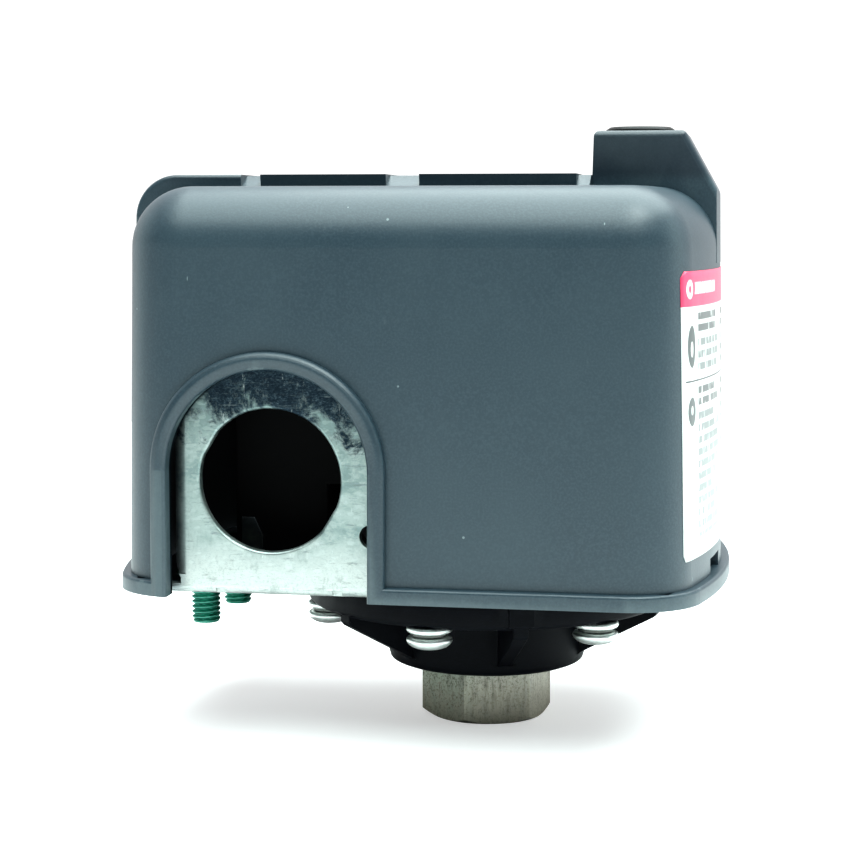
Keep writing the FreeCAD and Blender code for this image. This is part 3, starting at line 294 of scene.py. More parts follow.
def galvanised_steel():
    """Zinc-coated sheet: streaky pale bloom, fine scratches, a painted dark reflection towards the top, a
    painted bright reflection of the floor near the bottom, and painted shade on the inner faces and the left
    bend.
    """
    t = Tree("galvanised_steel")
    spangle = t.cells(0.45, place=t.stretched((0.5, 1.0, 1.0)))
    fine = t.noise(0.28, 5.0, 0.75, t.stretched((0.6, 1.0, 1.0)))
    bloom = t.noise(5, 6.0, 0.68, distortion=0.4)
    grey = t.nodes.new("ShaderNodeRGBToBW")
    t.links.new(spangle, grey.inputs[0])
    x, y, z = t.axes()
    # Painted reflection: above a sloped, ragged line the sheet turns dark, standing for the dark surroundings
    # that it mirrors.
    slope = t.math("MULTIPLY_ADD", x, 0.10, z)
    high = t.math("MULTIPLY_ADD", bloom, 0.030, t.math("ADD", slope, -0.0168))
    high = t.math("MULTIPLY_ADD", fine, 0.0050, high)
    high = t.step(high, DARK_REFLECTION_LOW, DARK_REFLECTION_HIGH)
    bright = t.mix(t.step(bloom, 0.36, 0.62), (0.22, 0.30, 0.29), (0.42, 0.50, 0.48))
    # Painted reflection: low on the sheet the colour turns near white, standing for the bright floor that it
    # mirrors.
    low = t.step(z, 0.036, 0.027)
    bright = t.mix(t.math("MULTIPLY", low, 0.75), bright, (0.69, 0.73, 0.705))
    bright = t.mix(t.math("MULTIPLY", t.step(fine, 0.50, 0.66), 0.45), bright, (0.30, 0.38, 0.39))
    bright = t.mix(t.math("MULTIPLY", t.step(grey.outputs[0], 0.60, 0.85), 0.14), bright, (0.80, 0.88, 0.86))
    # The dark colours of the painted reflection, broken by the spangle.
    dark = t.ramp(t.math("MULTIPLY_ADD", fine, 0.85, t.math("MULTIPLY", grey.outputs[0], 0.14)), [
        (0.38, (0.008, 0.016, 0.026)),
        (0.54, (0.022, 0.040, 0.055)),
        (0.66, (0.075, 0.110, 0.135)),
        (0.78, (0.32, 0.40, 0.44)),
    ])
    color = t.mix(high, bright, dark)
    streaks = t.noise(1.0, 6.0, 0.75, t.stretched((0.22, 1.0, 1.7)))
    color = t.mix(t.math("MULTIPLY", t.step(streaks, 0.56, 0.66), 0.62), color, (0.15, 0.185, 0.19))
    scratch = t.noise(1.4, 6.0, 0.8, t.stretched((1.5, 1.0, 0.3), (0.01, 0.0, 0.03)))
    color = t.mix(t.math("MULTIPLY", t.step(scratch, 0.62, 0.68), 0.40), color, (0.80, 0.87, 0.84))
    grime = t.noise(2.0, 6.0, 0.8, t.stretched((1.0, 1.0, 0.6), (0.02, 0.0, 0.01)))
    color = t.mix(t.math("MULTIPLY", t.step(grime, 0.54, 0.66), 0.45), color, (0.24, 0.29, 0.285))
    # Painted shade: the plates' inner faces are made near black.
    inner = t.step(t.math("ABSOLUTE", y), PLATE_INNER_Y, PLATE_INNER_Y - SEAM)
    color = t.mix(t.math("MULTIPLY", inner, 0.88), color, (0.012, 0.015, 0.017))
    # Painted shade: the left edge, where the sheet bends inwards, is painted darker blue-grey.
    left = t.step(x, -0.0418, -0.0446)
    color = t.mix(t.math("MULTIPLY", left, 0.55), color, (0.09, 0.13, 0.16))
    rough = t.math("MULTIPLY_ADD", t.step(bloom, 0.3, 0.7), 0.16, 0.30)
    rough = t.math("MULTIPLY_ADD", fine, 0.12, rough)
    height = t.math("MULTIPLY_ADD", grey.outputs[0], 0.25, fine)
    return t.finish(color, rough, 0.85, t.bump(height, 0.02, 0.45))


def housing_plastic():
    """Glass-filled black nylon: matt, with a faint fibrous mottling and grey rubs on its corners."""
    t = Tree("housing_plastic")
    fibre = t.noise(0.6, 5.0, 0.75, t.stretched((1.0, 1.0, 3.0)))
    clouds = t.noise(9, 2.0)
    color = t.mix(t.step(fibre, 0.45, 0.8), (0.0008, 0.0014, 0.0034), (0.0035, 0.0050, 0.0095))
    color = t.mix(t.math("MULTIPLY", t.edge_wear(0.55, 0.66), 0.25), color, (0.040, 0.044, 0.052))
    rough = t.math("MULTIPLY_ADD", clouds, 0.16, 0.42)
    return t.finish(color, rough, 0.0, t.bump(fibre, 0.02, 0.4), Specular_IOR_Level=0.11)


def black_plastic(name, tint=(0.006, 0.007, 0.008), gloss=0.30, shine=0.35):
    """Smooth black moulding with fine scratches."""
    t = Tree(name)
    grain = t.noise(0.5, 3.0, 0.6)
    marks = t.noise(2.2, 6.0, 0.75, t.stretched((1.0, 0.3, 1.0)))
    marks = t.step(marks, 0.64, 0.74)
    lifted = tuple(0.008 + 1.6 * c for c in tint)
    color = t.mix(t.math("MULTIPLY", marks, 0.5), tint, lifted)
    rough = t.math("MULTIPLY_ADD", marks, 0.16, t.math("MULTIPLY_ADD", grain, 0.1, gloss))
    return t.finish(color, rough, 0.0, t.bump(grain, 0.012, 0.4), Specular_IOR_Level=shine)


def plated_steel(name, tint, rough_low, size_mm=1.4, brush=(1, 1, 1), stain=(0.30, 0.29, 0.25),
                 stained=0.35):
    """Plated or bare metal: fine scratches along the brush direction, and cloudy stains."""
    t = Tree(name)
    scratch = t.noise(size_mm, 6.0, 0.75, t.stretched(brush))
    cloud = t.noise(size_mm * 3.2, 4.0, 0.65)
    fine = t.noise(0.22, 3.0, 0.6)
    light = tuple(min(1.0, 1.12 * c) for c in tint)
    color = t.mix(t.step(scratch, 0.35, 0.7), tint, light)
    color = t.mix(t.math("MULTIPLY", t.step(cloud, 0.50, 0.72), stained), color, stain)
    rough = t.math("MULTIPLY_ADD", scratch, 0.22, rough_low)
    rough = t.math("MULTIPLY_ADD", t.step(cloud, 0.45, 0.75), 0.12, rough)
    height = t.math("MULTIPLY_ADD", fine, 0.4, scratch)
    return t.finish(color, rough, 1.0, t.bump(height, 0.012, 0.35))


def port_metal():
    """Dull plated hexagon: warm grey, peppered with dark pits and drawn lines that run up the flats."""
    t = Tree("port_metal")
    drawn = t.noise(0.7, 6.0, 0.75, t.stretched((1.0, 1.0, 0.12)))
    pits = t.noise(0.42, 6.0, 0.8)
    cloud = t.noise(3.0, 4.0, 0.6)
    warm = t.step(t.axes()[0], -0.005, 0.001)
    color = t.mix(warm, (0.36, 0.42, 0.35), (0.40, 0.385, 0.34))
    color = t.mix(t.math("MULTIPLY", t.step(cloud, 0.40, 0.65), 0.35), color, (0.50, 0.51, 0.45))
    color = t.mix(t.math("MULTIPLY", t.step(drawn, 0.48, 0.66), 0.75), color, (0.13, 0.13, 0.11))
    peppered = t.math("MULTIPLY_ADD", warm, -0.40, 0.95)
    color = t.mix(t.math("MULTIPLY", t.step(pits, 0.50, 0.60), peppered), color, (0.045, 0.050, 0.036))
    worn = t.edge_wear(0.53, 0.62)
    color = t.mix(t.math("MULTIPLY", worn, 0.55), color, (0.60, 0.55, 0.44))
    rough = t.math("MULTIPLY_ADD", drawn, 0.2, 0.30)
    rough = t.math("MULTIPLY_ADD", t.step(pits, 0.50, 0.62), 0.20, rough)
    return t.finish(color, rough, 0.92, t.bump(t.math("MULTIPLY_ADD", pits, 0.8, drawn), 0.04, 0.7))


def green_screw():
    """Dyed green plate over steel, worn thin on the crests."""
    t = Tree("green_screw")
    cloud = t.noise(1.6, 4.0, 0.65)
    wear = t.edge_wear(0.53, 0.62)
    color = t.mix(t.step(cloud, 0.35, 0.7), (0.030, 0.235, 0.170), (0.070, 0.36, 0.27))
    color = t.mix(t.math("MULTIPLY", wear, 0.45), color, (0.20, 0.38, 0.32))
    rough = t.math("MULTIPLY_ADD", cloud, 0.2, 0.24)
    return t.finish(color, rough, 0.72, t.bump(t.noise(0.3, 3.0), 0.012, 0.4))


def rubber():
    """Matt black rubber with a faint grey bloom."""
    t = Tree("rubber")
    bloom = t.noise(3.5, 4.0, 0.65)
    fine = t.noise(0.4, 3.0)
    color = t.mix(t.step(bloom, 0.4, 0.75), (0.008, 0.008, 0.009), (0.028, 0.028, 0.030))
    rough = t.math("MULTIPLY_ADD", bloom, 0.15, 0.62)
    return t.finish(color, rough, 0.0, t.bump(fine, 0.02, 0.5))


def label_print(width, height):
    """Glossy film with a generic print, laid out in millimetres on the label's own flat map."""
    t = Tree("label_print")
    flat = t.nodes.new("ShaderNodeSeparateXYZ")
    t.links.new(t.nodes.new("ShaderNodeUVMap").outputs["UV"], flat.inputs[0])
    u, v = flat.outputs[0], flat.outputs[1]
    band = 5.3
    ink = t.noise(0.25, 3.0, 0.6)
    paper = t.mix(t.noise(7, 3.0), (0.72, 0.76, 0.74), (0.79, 0.82, 0.80))

    def inside(value, low, high, soft=0.06):
        """1 between low and high."""
        over = t.step(value, low - soft, low + soft)
        return t.math("MULTIPLY", over, t.step(value, high + soft, high - soft))

    def box(left, low, right, top, soft):
        """Filled upright rectangle."""
        return t.math("MULTIPLY", inside(u, left, right, soft), inside(v, low, top, soft))

    def rows(left, right, low, top, pitch, fill, seed):
        """Bars of uneven length that stand for lines of small print."""
        line = t.math("DIVIDE", t.math("SUBTRACT", top, v), pitch)
        number = t.math("FLOOR", line)
        phase = t.math("FRACT", line)
        spread = t.nodes.new("ShaderNodeTexWhiteNoise")
        spread.noise_dimensions = "1D"
        t.links.new(t.math("ADD", number, seed), spread.inputs["W"])
        end = t.math("MULTIPLY_ADD", spread.outputs["Value"], -0.42 * (right - left), right)
        length = t.math("MULTIPLY", t.step(u, left - 0.05, left + 0.05), t.math("LESS_THAN", u, end))
        breaks = t.noise(0.9, 1.0, 0.5, t.stretched((1, 1, 0.2), (0, 0, 0.001 * seed)))
        bar = t.math("MULTIPLY", inside(phase, 0.18, 0.18 + fill, 0.04), length)
        bar = t.math("MULTIPLY", bar, t.step(breaks, 0.36, 0.44))
        return t.math("MULTIPLY", bar, inside(v, low, top))

    def disc(cx, cy, rx, ry):
        """Filled ellipse."""
        dx = t.math("DIVIDE", t.math("SUBTRACT", u, cx), rx)
        dy = t.math("DIVIDE", t.math("SUBTRACT", v, cy), ry)
        length = t.math("ADD", t.math("MULTIPLY", dx, dx), t.math("MULTIPLY", dy, dy))
        return t.step(length, 1.06, 0.94)

    top = height - band
    split = top - 11.2
    red = t.mix(t.noise(3, 4.0), (0.80, 0.055, 0.14), (0.88, 0.085, 0.18))
    color = t.mix(t.step(v, top - 0.06, top + 0.06), paper, red)
    title = rows(4.6, 20.0, top + 1.35, top + 4.1, 2.75, 0.64, 1)
    badge = t.math("SUBTRACT", disc(2.7, top + 2.6, 1.25, 1.45), disc(2.7, top + 2.6, 0.45, 0.55))
    color = t.mix(t.math("MULTIPLY", t.math("MAXIMUM", title, badge), 0.92), color, (0.90, 0.80, 0.82))
    dark = (0.045, 0.060, 0.062)
    grey = (0.12, 0.15, 0.15)
    column = 5.9
    for number, left in enumerate((column + 0.7, column + 20.0, column + 38.5)):
        right = min(left + 17.5, width - 1.5)
        bold = t.math("MAXIMUM", rows(left, right, top - 4.4, top - 0.7, 1.75, 0.62, 7 + number),
                      rows(left, right, split - 4.4, split - 0.7, 1.75, 0.62, 17 + number))
        light = t.math("MAXIMUM", rows(left, right, split + 0.9, top - 4.6, 1.85, 0.60, 27 + number),
                       rows(left, right, 3.0, split - 4.6, 1.85, 0.60, 37 + number))
        color = t.mix(t.math("MULTIPLY", bold, 0.90), color, dark)
        color = t.mix(t.math("MULTIPLY", light, 0.85), color, grey)
    rule = box(column - 0.12, 1.0, column + 0.12, top - 0.2, 0.05)
    color = t.mix(t.math("MULTIPLY", rule, 0.9), color, grey)
    rule = box(1.0, split - 0.12, width - 1.0, split + 0.12, 0.05)
    color = t.mix(rule, color, dark)
    ring = t.math("SUBTRACT", disc(3.4, top - 6.0, 1.7, 3.2), disc(3.4, top - 6.4, 0.6, 1.2))
    spot = t.math("SUBTRACT", disc(3.4, split - 4.6, 1.7, 2.2), disc(3.4, split - 4.4, 0.5, 0.7))
    color = t.mix(t.math("MULTIPLY", t.math("MAXIMUM", ring, spot), 0.92), color, dark)
    rough = t.math("MULTIPLY_ADD", ink, 0.10, 0.26)
    return t.finish(color, rough, 0.0, t.bump(ink, 0.01, 0.25))


# ---- mesh helpers ----


def add_piece(name, mesh, material, body):
    """A mesh object in the shared frame that rides on a body."""
    mesh.materials.clear()
    mesh.materials.append(material)
    for polygon in mesh.polygons:
        polygon.use_smooth = True
    piece = bpy.data.objects.new(name, mesh)
    bpy.context.scene.collection.objects.link(piece)
    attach(piece, body)
    return piece


def grid_mesh(name, rows, caps=True):
    """Skins a list of equally long closed point rows, one row after the other, in mm."""
    count = len(rows[0])
    points = [Vector(p) * MM for row in rows for p in row]
    faces = []
    for i in range(len(rows) - 1):
        for j in range(count):
            k = (j + 1) % count
            faces.append((i * count + j, i * count + k, (i + 1) * count + k, (i + 1) * count + j))
    if caps:
        last = (len(rows) - 1) * count
        faces.append(tuple(range(count))[::-1])
        faces.append(tuple(range(last, last + count)))
    mesh = bpy.data.meshes.new(name)
    mesh.from_pydata(points, [], faces)
    repair(mesh)
    return mesh


def repair(mesh):
    """Welds doubled points and turns all faces outwards."""
    bm = bmesh.new()
    bm.from_mesh(mesh)
    bmesh.ops.remove_doubles(bm, verts=bm.verts, dist=0.0005 * MM)
    bmesh.ops.recalc_face_normals(bm, faces=bm.faces)
    bm.to_mesh(mesh)
    bm.free()


def lathe(name, profile, x=0.0, y=0.0, steps=64):
    """Solid of revolution about the vertical at (x, y), from (radius, height) points in mm."""
    rows = []
    for r, z in profile:
        turn = [2 * math.pi * k / steps for k in range(steps)]
        rows.append([(x + r * math.cos(a), y + r * math.sin(a), z) for a in turn])
    return grid_mesh(name, rows)


def join_meshes(name, meshes):
    """One mesh made of all of them. They are used up."""
    bm = bmesh.new()
    for mesh in meshes:
        bm.from_mesh(mesh)
    joined = bpy.data.meshes.new(name)
    bm.to_mesh(joined)
    bm.free()
    for mesh in meshes:
        bpy.data.meshes.remove(mesh)
    return joined


def rounded(profile, radius, steps=4):
    """The profile with each inner corner replaced by a short arc-like run of points."""
    out = [profile[0]]
    for before, here, after in zip(profile, profile[1:], profile[2:]):
        p0, p1, p2 = Vector(before), Vector(here), Vector(after)
        reach = min(radius, 0.45 * (p1 - p0).length, 0.45 * (p2 - p1).length)
        a = p1 + (p0 - p1).normalized() * reach
        b = p1 + (p2 - p1).normalized() * reach
        for k in range(steps + 1):
            u = k / steps
            out.append(tuple((1 - u) ** 2 * a + 2 * u * (1 - u) * p1 + u * u * b))
    out.append(profile[-1])
    return out


def threaded_rod(name, x, y, major, pitch, z0, z1, plain_to=None, steps=40):
    """Rod with a real helical thread from z0 to z1. Below plain_to, if given, the shank is smooth."""
    depth = 0.54 * pitch
    start = plain_to if plain_to is not None else z0
    per_turn = 10
    rows = []
    height = z1 - z0
    count = max(2, int(height / pitch * per_turn))
    for i in range(count + 1):
        z = z0 + height * i / count
        row = []
        for k in range(steps):
            a = 2 * math.pi * k / steps
            phase = ((z - z0) / pitch - k / steps) % 1.0
            tooth = min(1.0, max(0.0, 1.5 * (1.0 - abs(2 * phase - 1.0)) - 0.15))
            fade = min(1.0, max(0.0, (z - start) / (0.6 * pitch))) if z < start + pitch else 1.0
            lead = min(1.0, (z1 - z) / (0.9 * pitch) + 0.25)
            foot = min(1.0, (z - z0) / (0.9 * pitch) + 0.25) if plain_to is None else 1.0
            cut = depth * (1.0 - tooth) * fade
            end = min(lead, foot)
            r = major - max(cut, depth * (1.0 - end))
            row.append((x + r * math.cos(a), y + r * math.sin(a), z))
        rows.append(row)
    return grid_mesh(name, rows)


def coil(name, x, y, mean_r, wire_r, z0, z1, turns, steps=44, around=14):
    """Compression spring with closed, ground-flat ends. Height runs from z0 to z1."""
    low = z0 + wire_r * 0.35
    high = z1 - wire_r * 0.35
    dead = 0.9
    total = turns + 2 * dead
    count = int(total * steps)
    rows = []
    for i in range(count + 1):
        t = total * i / count
        closed = 2.05 * wire_r
        if t < dead:
            z = low + closed * t
        elif t > total - dead:
            z = high - closed * (total - t)
        else:
            u = (t - dead) / turns
            ease = u - 0.35 / turns * math.sin(2 * math.pi * u) / (2 * math.pi)
            z = low + closed * dead + (high - low - 2 * closed * dead) * ease
        a = 2 * math.pi * t
        out = Vector((math.cos(a), math.sin(a), 0))
        centre = Vector((x, y, z)) + out * mean_r
        row = []
        for k in range(around):
            b = 2 * math.pi * k / around
            p = centre + out * (wire_r * math.cos(b)) + Vector((0, 0, wire_r * math.sin(b)))
            p.z = min(max(p.z, z0), z1)
            row.append(tuple(p))
        rows.append(row)
    return grid_mesh(name, rows)


# ---- pieces ----


def middle(node):
    """Middle, lowest and highest corner of a CAD node's box, in mm."""
    low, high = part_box(node)
    return (low + high) / 2 / MM, low / MM, high / MM


def main_springs(material):
    """The two springs that the lever presses."""
    for node, turns, wire in (("range_spring", 7.2, 0.9), ("differential_spring", 6.4, 0.6)):
        centre, low, high = middle(node)
        outer = (high.x - low.x) / 2
        mesh = coil(node + "_wire", centre.x, centre.y, outer - wire, wire, low.z, high.z, turns)
        piece = add_piece(node + "_wire", mesh, material, "base")
        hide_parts(node)
        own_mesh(piece)


def carve(mesh, cutter):
    """The mesh with the cutter taken away from it. Both are used up."""
    body = bpy.data.objects.new("carve_body", mesh)
    tool = bpy.data.objects.new("carve_tool", cutter)
    for thing in (body, tool):
        bpy.context.scene.collection.objects.link(thing)
    boolean = body.modifiers.new("cut", "BOOLEAN")
    boolean.operation = "DIFFERENCE"
    boolean.solver = "EXACT"
    boolean.object = tool
    shown = body.evaluated_get(bpy.context.evaluated_depsgraph_get())
    result = bpy.data.meshes.new_from_object(shown)
    for thing in (body, tool):
        bpy.data.objects.remove(thing)
    return result


def box_mesh(name, x0, x1, y0, y1, z0, z1):
    """Upright box between the given sides, in mm."""
    rows = [[(x0, y0, z), (x1, y0, z), (x1, y1, z), (x0, y1, z)] for z in (z0, z1)]
    return grid_mesh(name, rows)


def label_piece():
    """Closed thin film over the cover's bowed end, with its corners rounded and a flat map in millimetres."""
    _, low, high = middle("cover_label")
    cover_mesh = NODES["cover"].data
    skin = BVHTree.FromPolygons([v.co for v in cover_mesh.vertices],
                                [p.vertices for p in cover_mesh.polygons])
    top_corner, low_corner = 0.8, 0.5
    margin, film_back, film_front = 0.15, 0.01, 0.13
    columns, rows = 72, 44
    front, back, flat = [], [], []
    for i in range(rows + 1):
        z = low.z + (high.z - low.z) * i / rows
        corner, gap = (top_corner, high.z - z) if high.z - z < z - low.z else (low_corner, z - low.z)
        inset = max(0.0, corner - gap)
        pull = corner - math.sqrt(corner ** 2 - inset ** 2)
        start, end = low.y + margin + pull, high.y - margin - pull
        along = pull
        for j in range(columns + 1):
            y = start + (end - start) * j / columns
            hit = skin.ray_cast(Vector((0.08, y * MM, z * MM)), Vector((-1, 0, 0)))[0]
            outward = Vector((hit.x - (COVER_RIGHT - COVER_BOW_R), hit.y, 0.0)).normalized()
            if j:
                along += (hit - last).length / MM
            last = hit
            front.append(hit + outward * film_front * MM)
            back.append(hit + outward * film_back * MM)
            flat.append((along, z - low.z))
    across = columns + 1
    count = len(front)
    quads = []
    for i in range(rows):
        for j in range(columns):
            a = i * across + j
            quads.append((a, a + 1, a + across + 1, a + across))
    backs = [tuple(count + k for k in quad[::-1]) for quad in quads]
    rim = list(range(columns))
    rim += [i * across + columns for i in range(rows)]
    rim += [rows * across + j for j in range(columns, 0, -1)]
    rim += [i * across for i in range(rows, 0, -1)]
    sides = [(b, a, count + a, count + b) for a, b in zip(rim, rim[1:] + rim[:1])]
    mesh = bpy.data.meshes.new("cover_label_film")
    mesh.from_pydata(front + back, [], quads + backs + sides)
    layer = mesh.uv_layers.new(name="flat")
    for loop in mesh.loops:
        layer.data[loop.index].uv = flat[loop.vertex_index % count]
    width = max(u for u, v in flat)
    material = label_print(width, high.z - low.z)
    piece = add_piece("cover_label_film", mesh, material, "cover")
    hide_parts("cover_label")


def housing_screw_pieces(materials):
    """Pan-head screws with a cross recess, rounded flat washers and split washers, six of each."""
    spots = solid_centres("housing_flat_washers", 6)
    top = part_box("housing_flat_washers")[1].z / MM
    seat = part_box("housing_flat_washers")[0].z / MM
    head_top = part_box("housing_lock_washers")[0].z / MM
    head_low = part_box("housing_screws")[0].z / MM
    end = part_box("housing_screws")[1].z / MM
    shank, wide = 2.0, 3.65
    recess_turn, recess_reach, recess_half, recess_depth = 0.35, 1.85, 0.42, 1.15
    screws, flats, splits = [], [], []
    for x, y in spots:
        dome = [(0.02, head_low), (1.2, head_low + 0.03), (2.2, head_low + 0.20), (2.95, head_low + 0.52),
                (3.42, head_low + 0.95), (wide, head_low + 1.40), (wide - 0.03, head_low + 1.72),
                (wide - 0.22, head_top - 0.08), (wide - 0.45, head_top), (shank, head_top)]
        head = lathe("head", rounded(dome, 0.25, 3), x, y, 72)
        for turn in (recess_turn, recess_turn + math.pi / 2):
            cutter = box_mesh("recess", -recess_reach, recess_reach, -recess_half, recess_half,
                              head_low - 1, head_low + recess_depth)
            cutter.transform(Matrix.Translation((x * MM, y * MM, 0)) @ Matrix.Rotation(turn, 4, "Z"))
            head = carve(head, cutter)
        screws += [head, threaded_rod("shank", x, y, shank, 0.8, head_top - 0.05, end)]
        washer = [(2.15, seat + 0.1), (2.3, seat), (wide - 0.25, seat), (wide, seat + 0.3), (wide, top - 0.3),
                  (wide - 0.25, top), (2.3, top), (2.15, top - 0.1)]
        flats.append(ring("flat_washer", rounded(washer, 0.22, 3), x, y))
        splits.append(split_ring(x, y, 2.15, 2.75, head_top, seat))
    # Painted shade: the split washers get a darker zinc than the screws and flat washers, because they sit in
    # the shadow between head and washer.
    shade_zinc = plated_steel("zinc_in_painted_shade", (0.16, 0.17, 0.16), 0.40)
    bright = materials["zinc_steel"]
    for name, meshes, node, look in (("housing_screw_set", screws, "housing_screws", bright),
                                     ("housing_flat_washer_set", flats, "housing_flat_washers", bright),
                                     ("housing_split_washer_set", splits, "housing_lock_washers", shade_zinc)):
        piece = add_piece(name, join_meshes(name, meshes), look, "base")
        soften_by_angle(piece)
        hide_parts(node)


def solid_centres(node, count):
    """Centres, in plan, of a node's separate solids that are all alike."""
    bm = bmesh.new()
    bm.from_mesh(NODES[node].data)
    bmesh.ops.remove_doubles(bm, verts=bm.verts, dist=0.002 * MM)
    left = set(bm.verts)
    centres = []
    while left:
        todo = [left.pop()]
        island = []
        while todo:
            vertex = todo.pop()
            island.append(vertex.co.copy())
            for edge in vertex.link_edges:
                other = edge.other_vert(vertex)
                if other in left:
                    left.remove(other)
                    todo.append(other)
        xs = [p.x for p in island]
        ys = [p.y for p in island]
        centres.append(((min(xs) + max(xs)) / 2 / MM, (min(ys) + max(ys)) / 2 / MM))
    bm.free()
    return sorted(centres, key=lambda c: math.atan2(c[1], c[0]))[:count]


def ring(name, profile, x, y, steps=72):
    """Solid of revolution with a hole: the profile is a closed loop of (radius, height) points."""
    loop = profile[:-1] if profile[0] == profile[-1] else profile
    turns = [2 * math.pi * k / steps for k in range(steps)]
    rows = [[(x + r * math.cos(a), y + r * math.sin(a), z) for r, z in loop] for a in turns]
    rows.append(rows[0])
    return grid_mesh(name, rows, caps=False)


def split_ring(x, y, inner, outer, low, high):
    """Spring washer: a ring of square section cut through, its ends sprung a little apart in height."""
    rows = []
    inward = math.atan2(y, x) + math.pi
    gap = math.radians(5)
    steps = 60
    rise = 0.12
    for k in range(steps + 1):
        u = k / steps
        a = inward + gap + (2 * math.pi - 2 * gap) * u
        shift = rise * (u - 0.5)
        z0, z1 = low + rise / 2 + shift + 0.02, high - rise / 2 + shift - 0.02
        section = [(inner, z0), (outer - 0.08, z0), (outer, z0 + 0.08),
                   (outer, z1 - 0.08), (outer - 0.08, z1), (inner, z1)]
        rows.append([(x + r * math.cos(a), y + r * math.sin(a), z) for r, z in section])
    return grid_mesh("split_washer", rows)


def soften_by_angle(piece, degrees=32):
    """Smooth shading with crisp edges above the given angle."""
    for polygon in piece.data.polygons:
        polygon.use_smooth = True
    bm = bmesh.new()
    bm.from_mesh(piece.data)
    for edge in bm.edges:
        if len(edge.link_faces) == 2:
            edge.smooth = edge.calc_face_angle(0.0) < math.radians(degrees)
    bm.to_mesh(piece.data)
    bm.free()


def ground_screws(material):
    """Green screws: the hex washer head as designed, over a real thread."""
    thread_r, pitch = 2.3, 0.8
    for node in ("ground_screw_front", "ground_screw_rear"):
        centre, low, _ = middle(node)
        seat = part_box("base_plate")[1].z / MM
        bm = bmesh.new()
        bm.from_mesh(NODES[node].data)
        bmesh.ops.remove_doubles(bm, verts=bm.verts, dist=0.002 * MM)
        everything = bm.verts[:] + bm.edges[:] + bm.faces[:]
        cut = bmesh.ops.bisect_plane(bm, geom=everything, plane_co=(0, 0, (seat + 0.01) * MM),
                                     plane_no=(0, 0, 1), clear_inner=True)
        loops = [e for e in cut["geom_cut"] if isinstance(e, bmesh.types.BMEdge)]
        bmesh.ops.holes_fill(bm, edges=loops)
        head = bpy.data.meshes.new("head")
        bm.to_mesh(head)
        bm.free()
        thread = threaded_rod("thread", centre.x, centre.y, thread_r, pitch, low.z, seat + 0.5, None, 48)
        mesh = join_meshes(node, [head, thread])
        piece = add_piece(node + "_threaded", mesh, material, "base")
        soften_by_angle(piece)
        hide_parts(node)


def threaded_studs(material):
    """The two spring studs, threaded above their collars."""
    for node, r, pitch, collar in (("range_stud", 2.38, 1.06, 4.0), ("differential_stud", 2.0, 0.8, 3.2)):
        centre, low, high = middle(node)
        shoulder = low.z + 3.7
        foot = [(0.02, low.z), (r - 0.02, low.z), (r, low.z + 1.52), (collar - 0.25, low.z + 1.52),
                (collar, low.z + 1.75), (collar, shoulder - 0.3), (collar - 0.3, shoulder),
                (r - 0.1, shoulder), (0.02, shoulder + 0.01)]
        base = lathe("foot", foot, centre.x, centre.y, 48)
        rod = threaded_rod("rod", centre.x, centre.y, r, pitch, shoulder - 0.4, high.z, shoulder + 1.6, 36)
        piece = add_piece(node + "_threaded", join_meshes(node, [base, rod]), material, "base")
        soften_by_angle(piece)
        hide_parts(node)


def moulded_diaphragm(material):
    """Rubber diaphragm with a rolled wall and a flat middle."""
    low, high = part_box("diaphragm")
    top, bottom = high.z / MM, low.z / MM
    reach = (high.x - low.x) / 2 / MM
    web = 1.5
    depth = top - bottom - web
    upper = [(0.02, top - depth), (11.0, top - depth), (16.8, top), (reach - 0.4, top), (reach, top - 0.3)]
    lower = [(reach, top - web + 0.3), (reach - 0.4, top - web), (17.4, top - web),
             (11.4, bottom), (0.02, bottom)]
    mesh = lathe("diaphragm_moulding", rounded(upper, 1.6, 5) + rounded(lower, 1.6, 5), 0, 0, 96)
    piece = add_piece("diaphragm_moulding", mesh, material, "base")
    soften_by_angle(piece)
    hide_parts("diaphragm")
    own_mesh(piece)


def port_fitting(material):
    """The port with a cut pipe thread, which fades out at its inner end."""
    mesh = NODES["pressure_port"].data.copy()
    repair(mesh)
    low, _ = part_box("pressure_port")
    pitch, depth, lead_in = 1.41, 12.2, 1.5
    start = low.z / MM - lead_in
    crest, cut, fade, chamfer = 5.50, 0.85, 1.2, 1.1
    steps, per_turn = 56, 12
    rows = []
    count = int((depth - start) / pitch * per_turn)
    for i in range(count + 1):
        z = start + (depth - start) * i / count
        mouth = min(1.0, max(0.0, 1.0 - z / chamfer))
        row = []
        for k in range(steps):
            a = 2 * math.pi * k / steps
            phase = (z / pitch - k / steps) % 1.0
            tooth = 1.0 - abs(2 * phase - 1.0)
            r = crest + cut * max(tooth, mouth)
            if z > depth - fade:
                r = crest + cut * tooth * (depth - z) / fade
            row.append((r * math.cos(a), r * math.sin(a), z))
        rows.append(row)
    mesh = carve(mesh, grid_mesh("tap", rows))
    piece = add_piece("pressure_port_fitting", mesh, material, "base")
    soften_by_angle(piece)
    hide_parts("pressure_port")


BEVELLED = {
    "side_plate_front": 0.10,
    "side_plate_rear": 0.10,
    "pivot_bracket": 0.25,
    "block_clips": 0.12,
    "main_lever": 0.25,
    "contact_block": 0.25,
    "contact_carrier": 0.25,
    "terminal_1": 0.15,
    "terminal_2": 0.15,
    "terminal_3": 0.15,
    "terminal_4": 0.15,
    "terminal_clamps": 0.15,
    "terminal_screws": 0.12,
    "range_nut": 0.15,
    "differential_nut": 0.15,
    "plunger": 0.25,
    "cover_nut": 0.15,
    "fixed_contacts": 0.12,
    "moving_contacts": 0.12,
    "diaphragm_housing": 0.2,
}


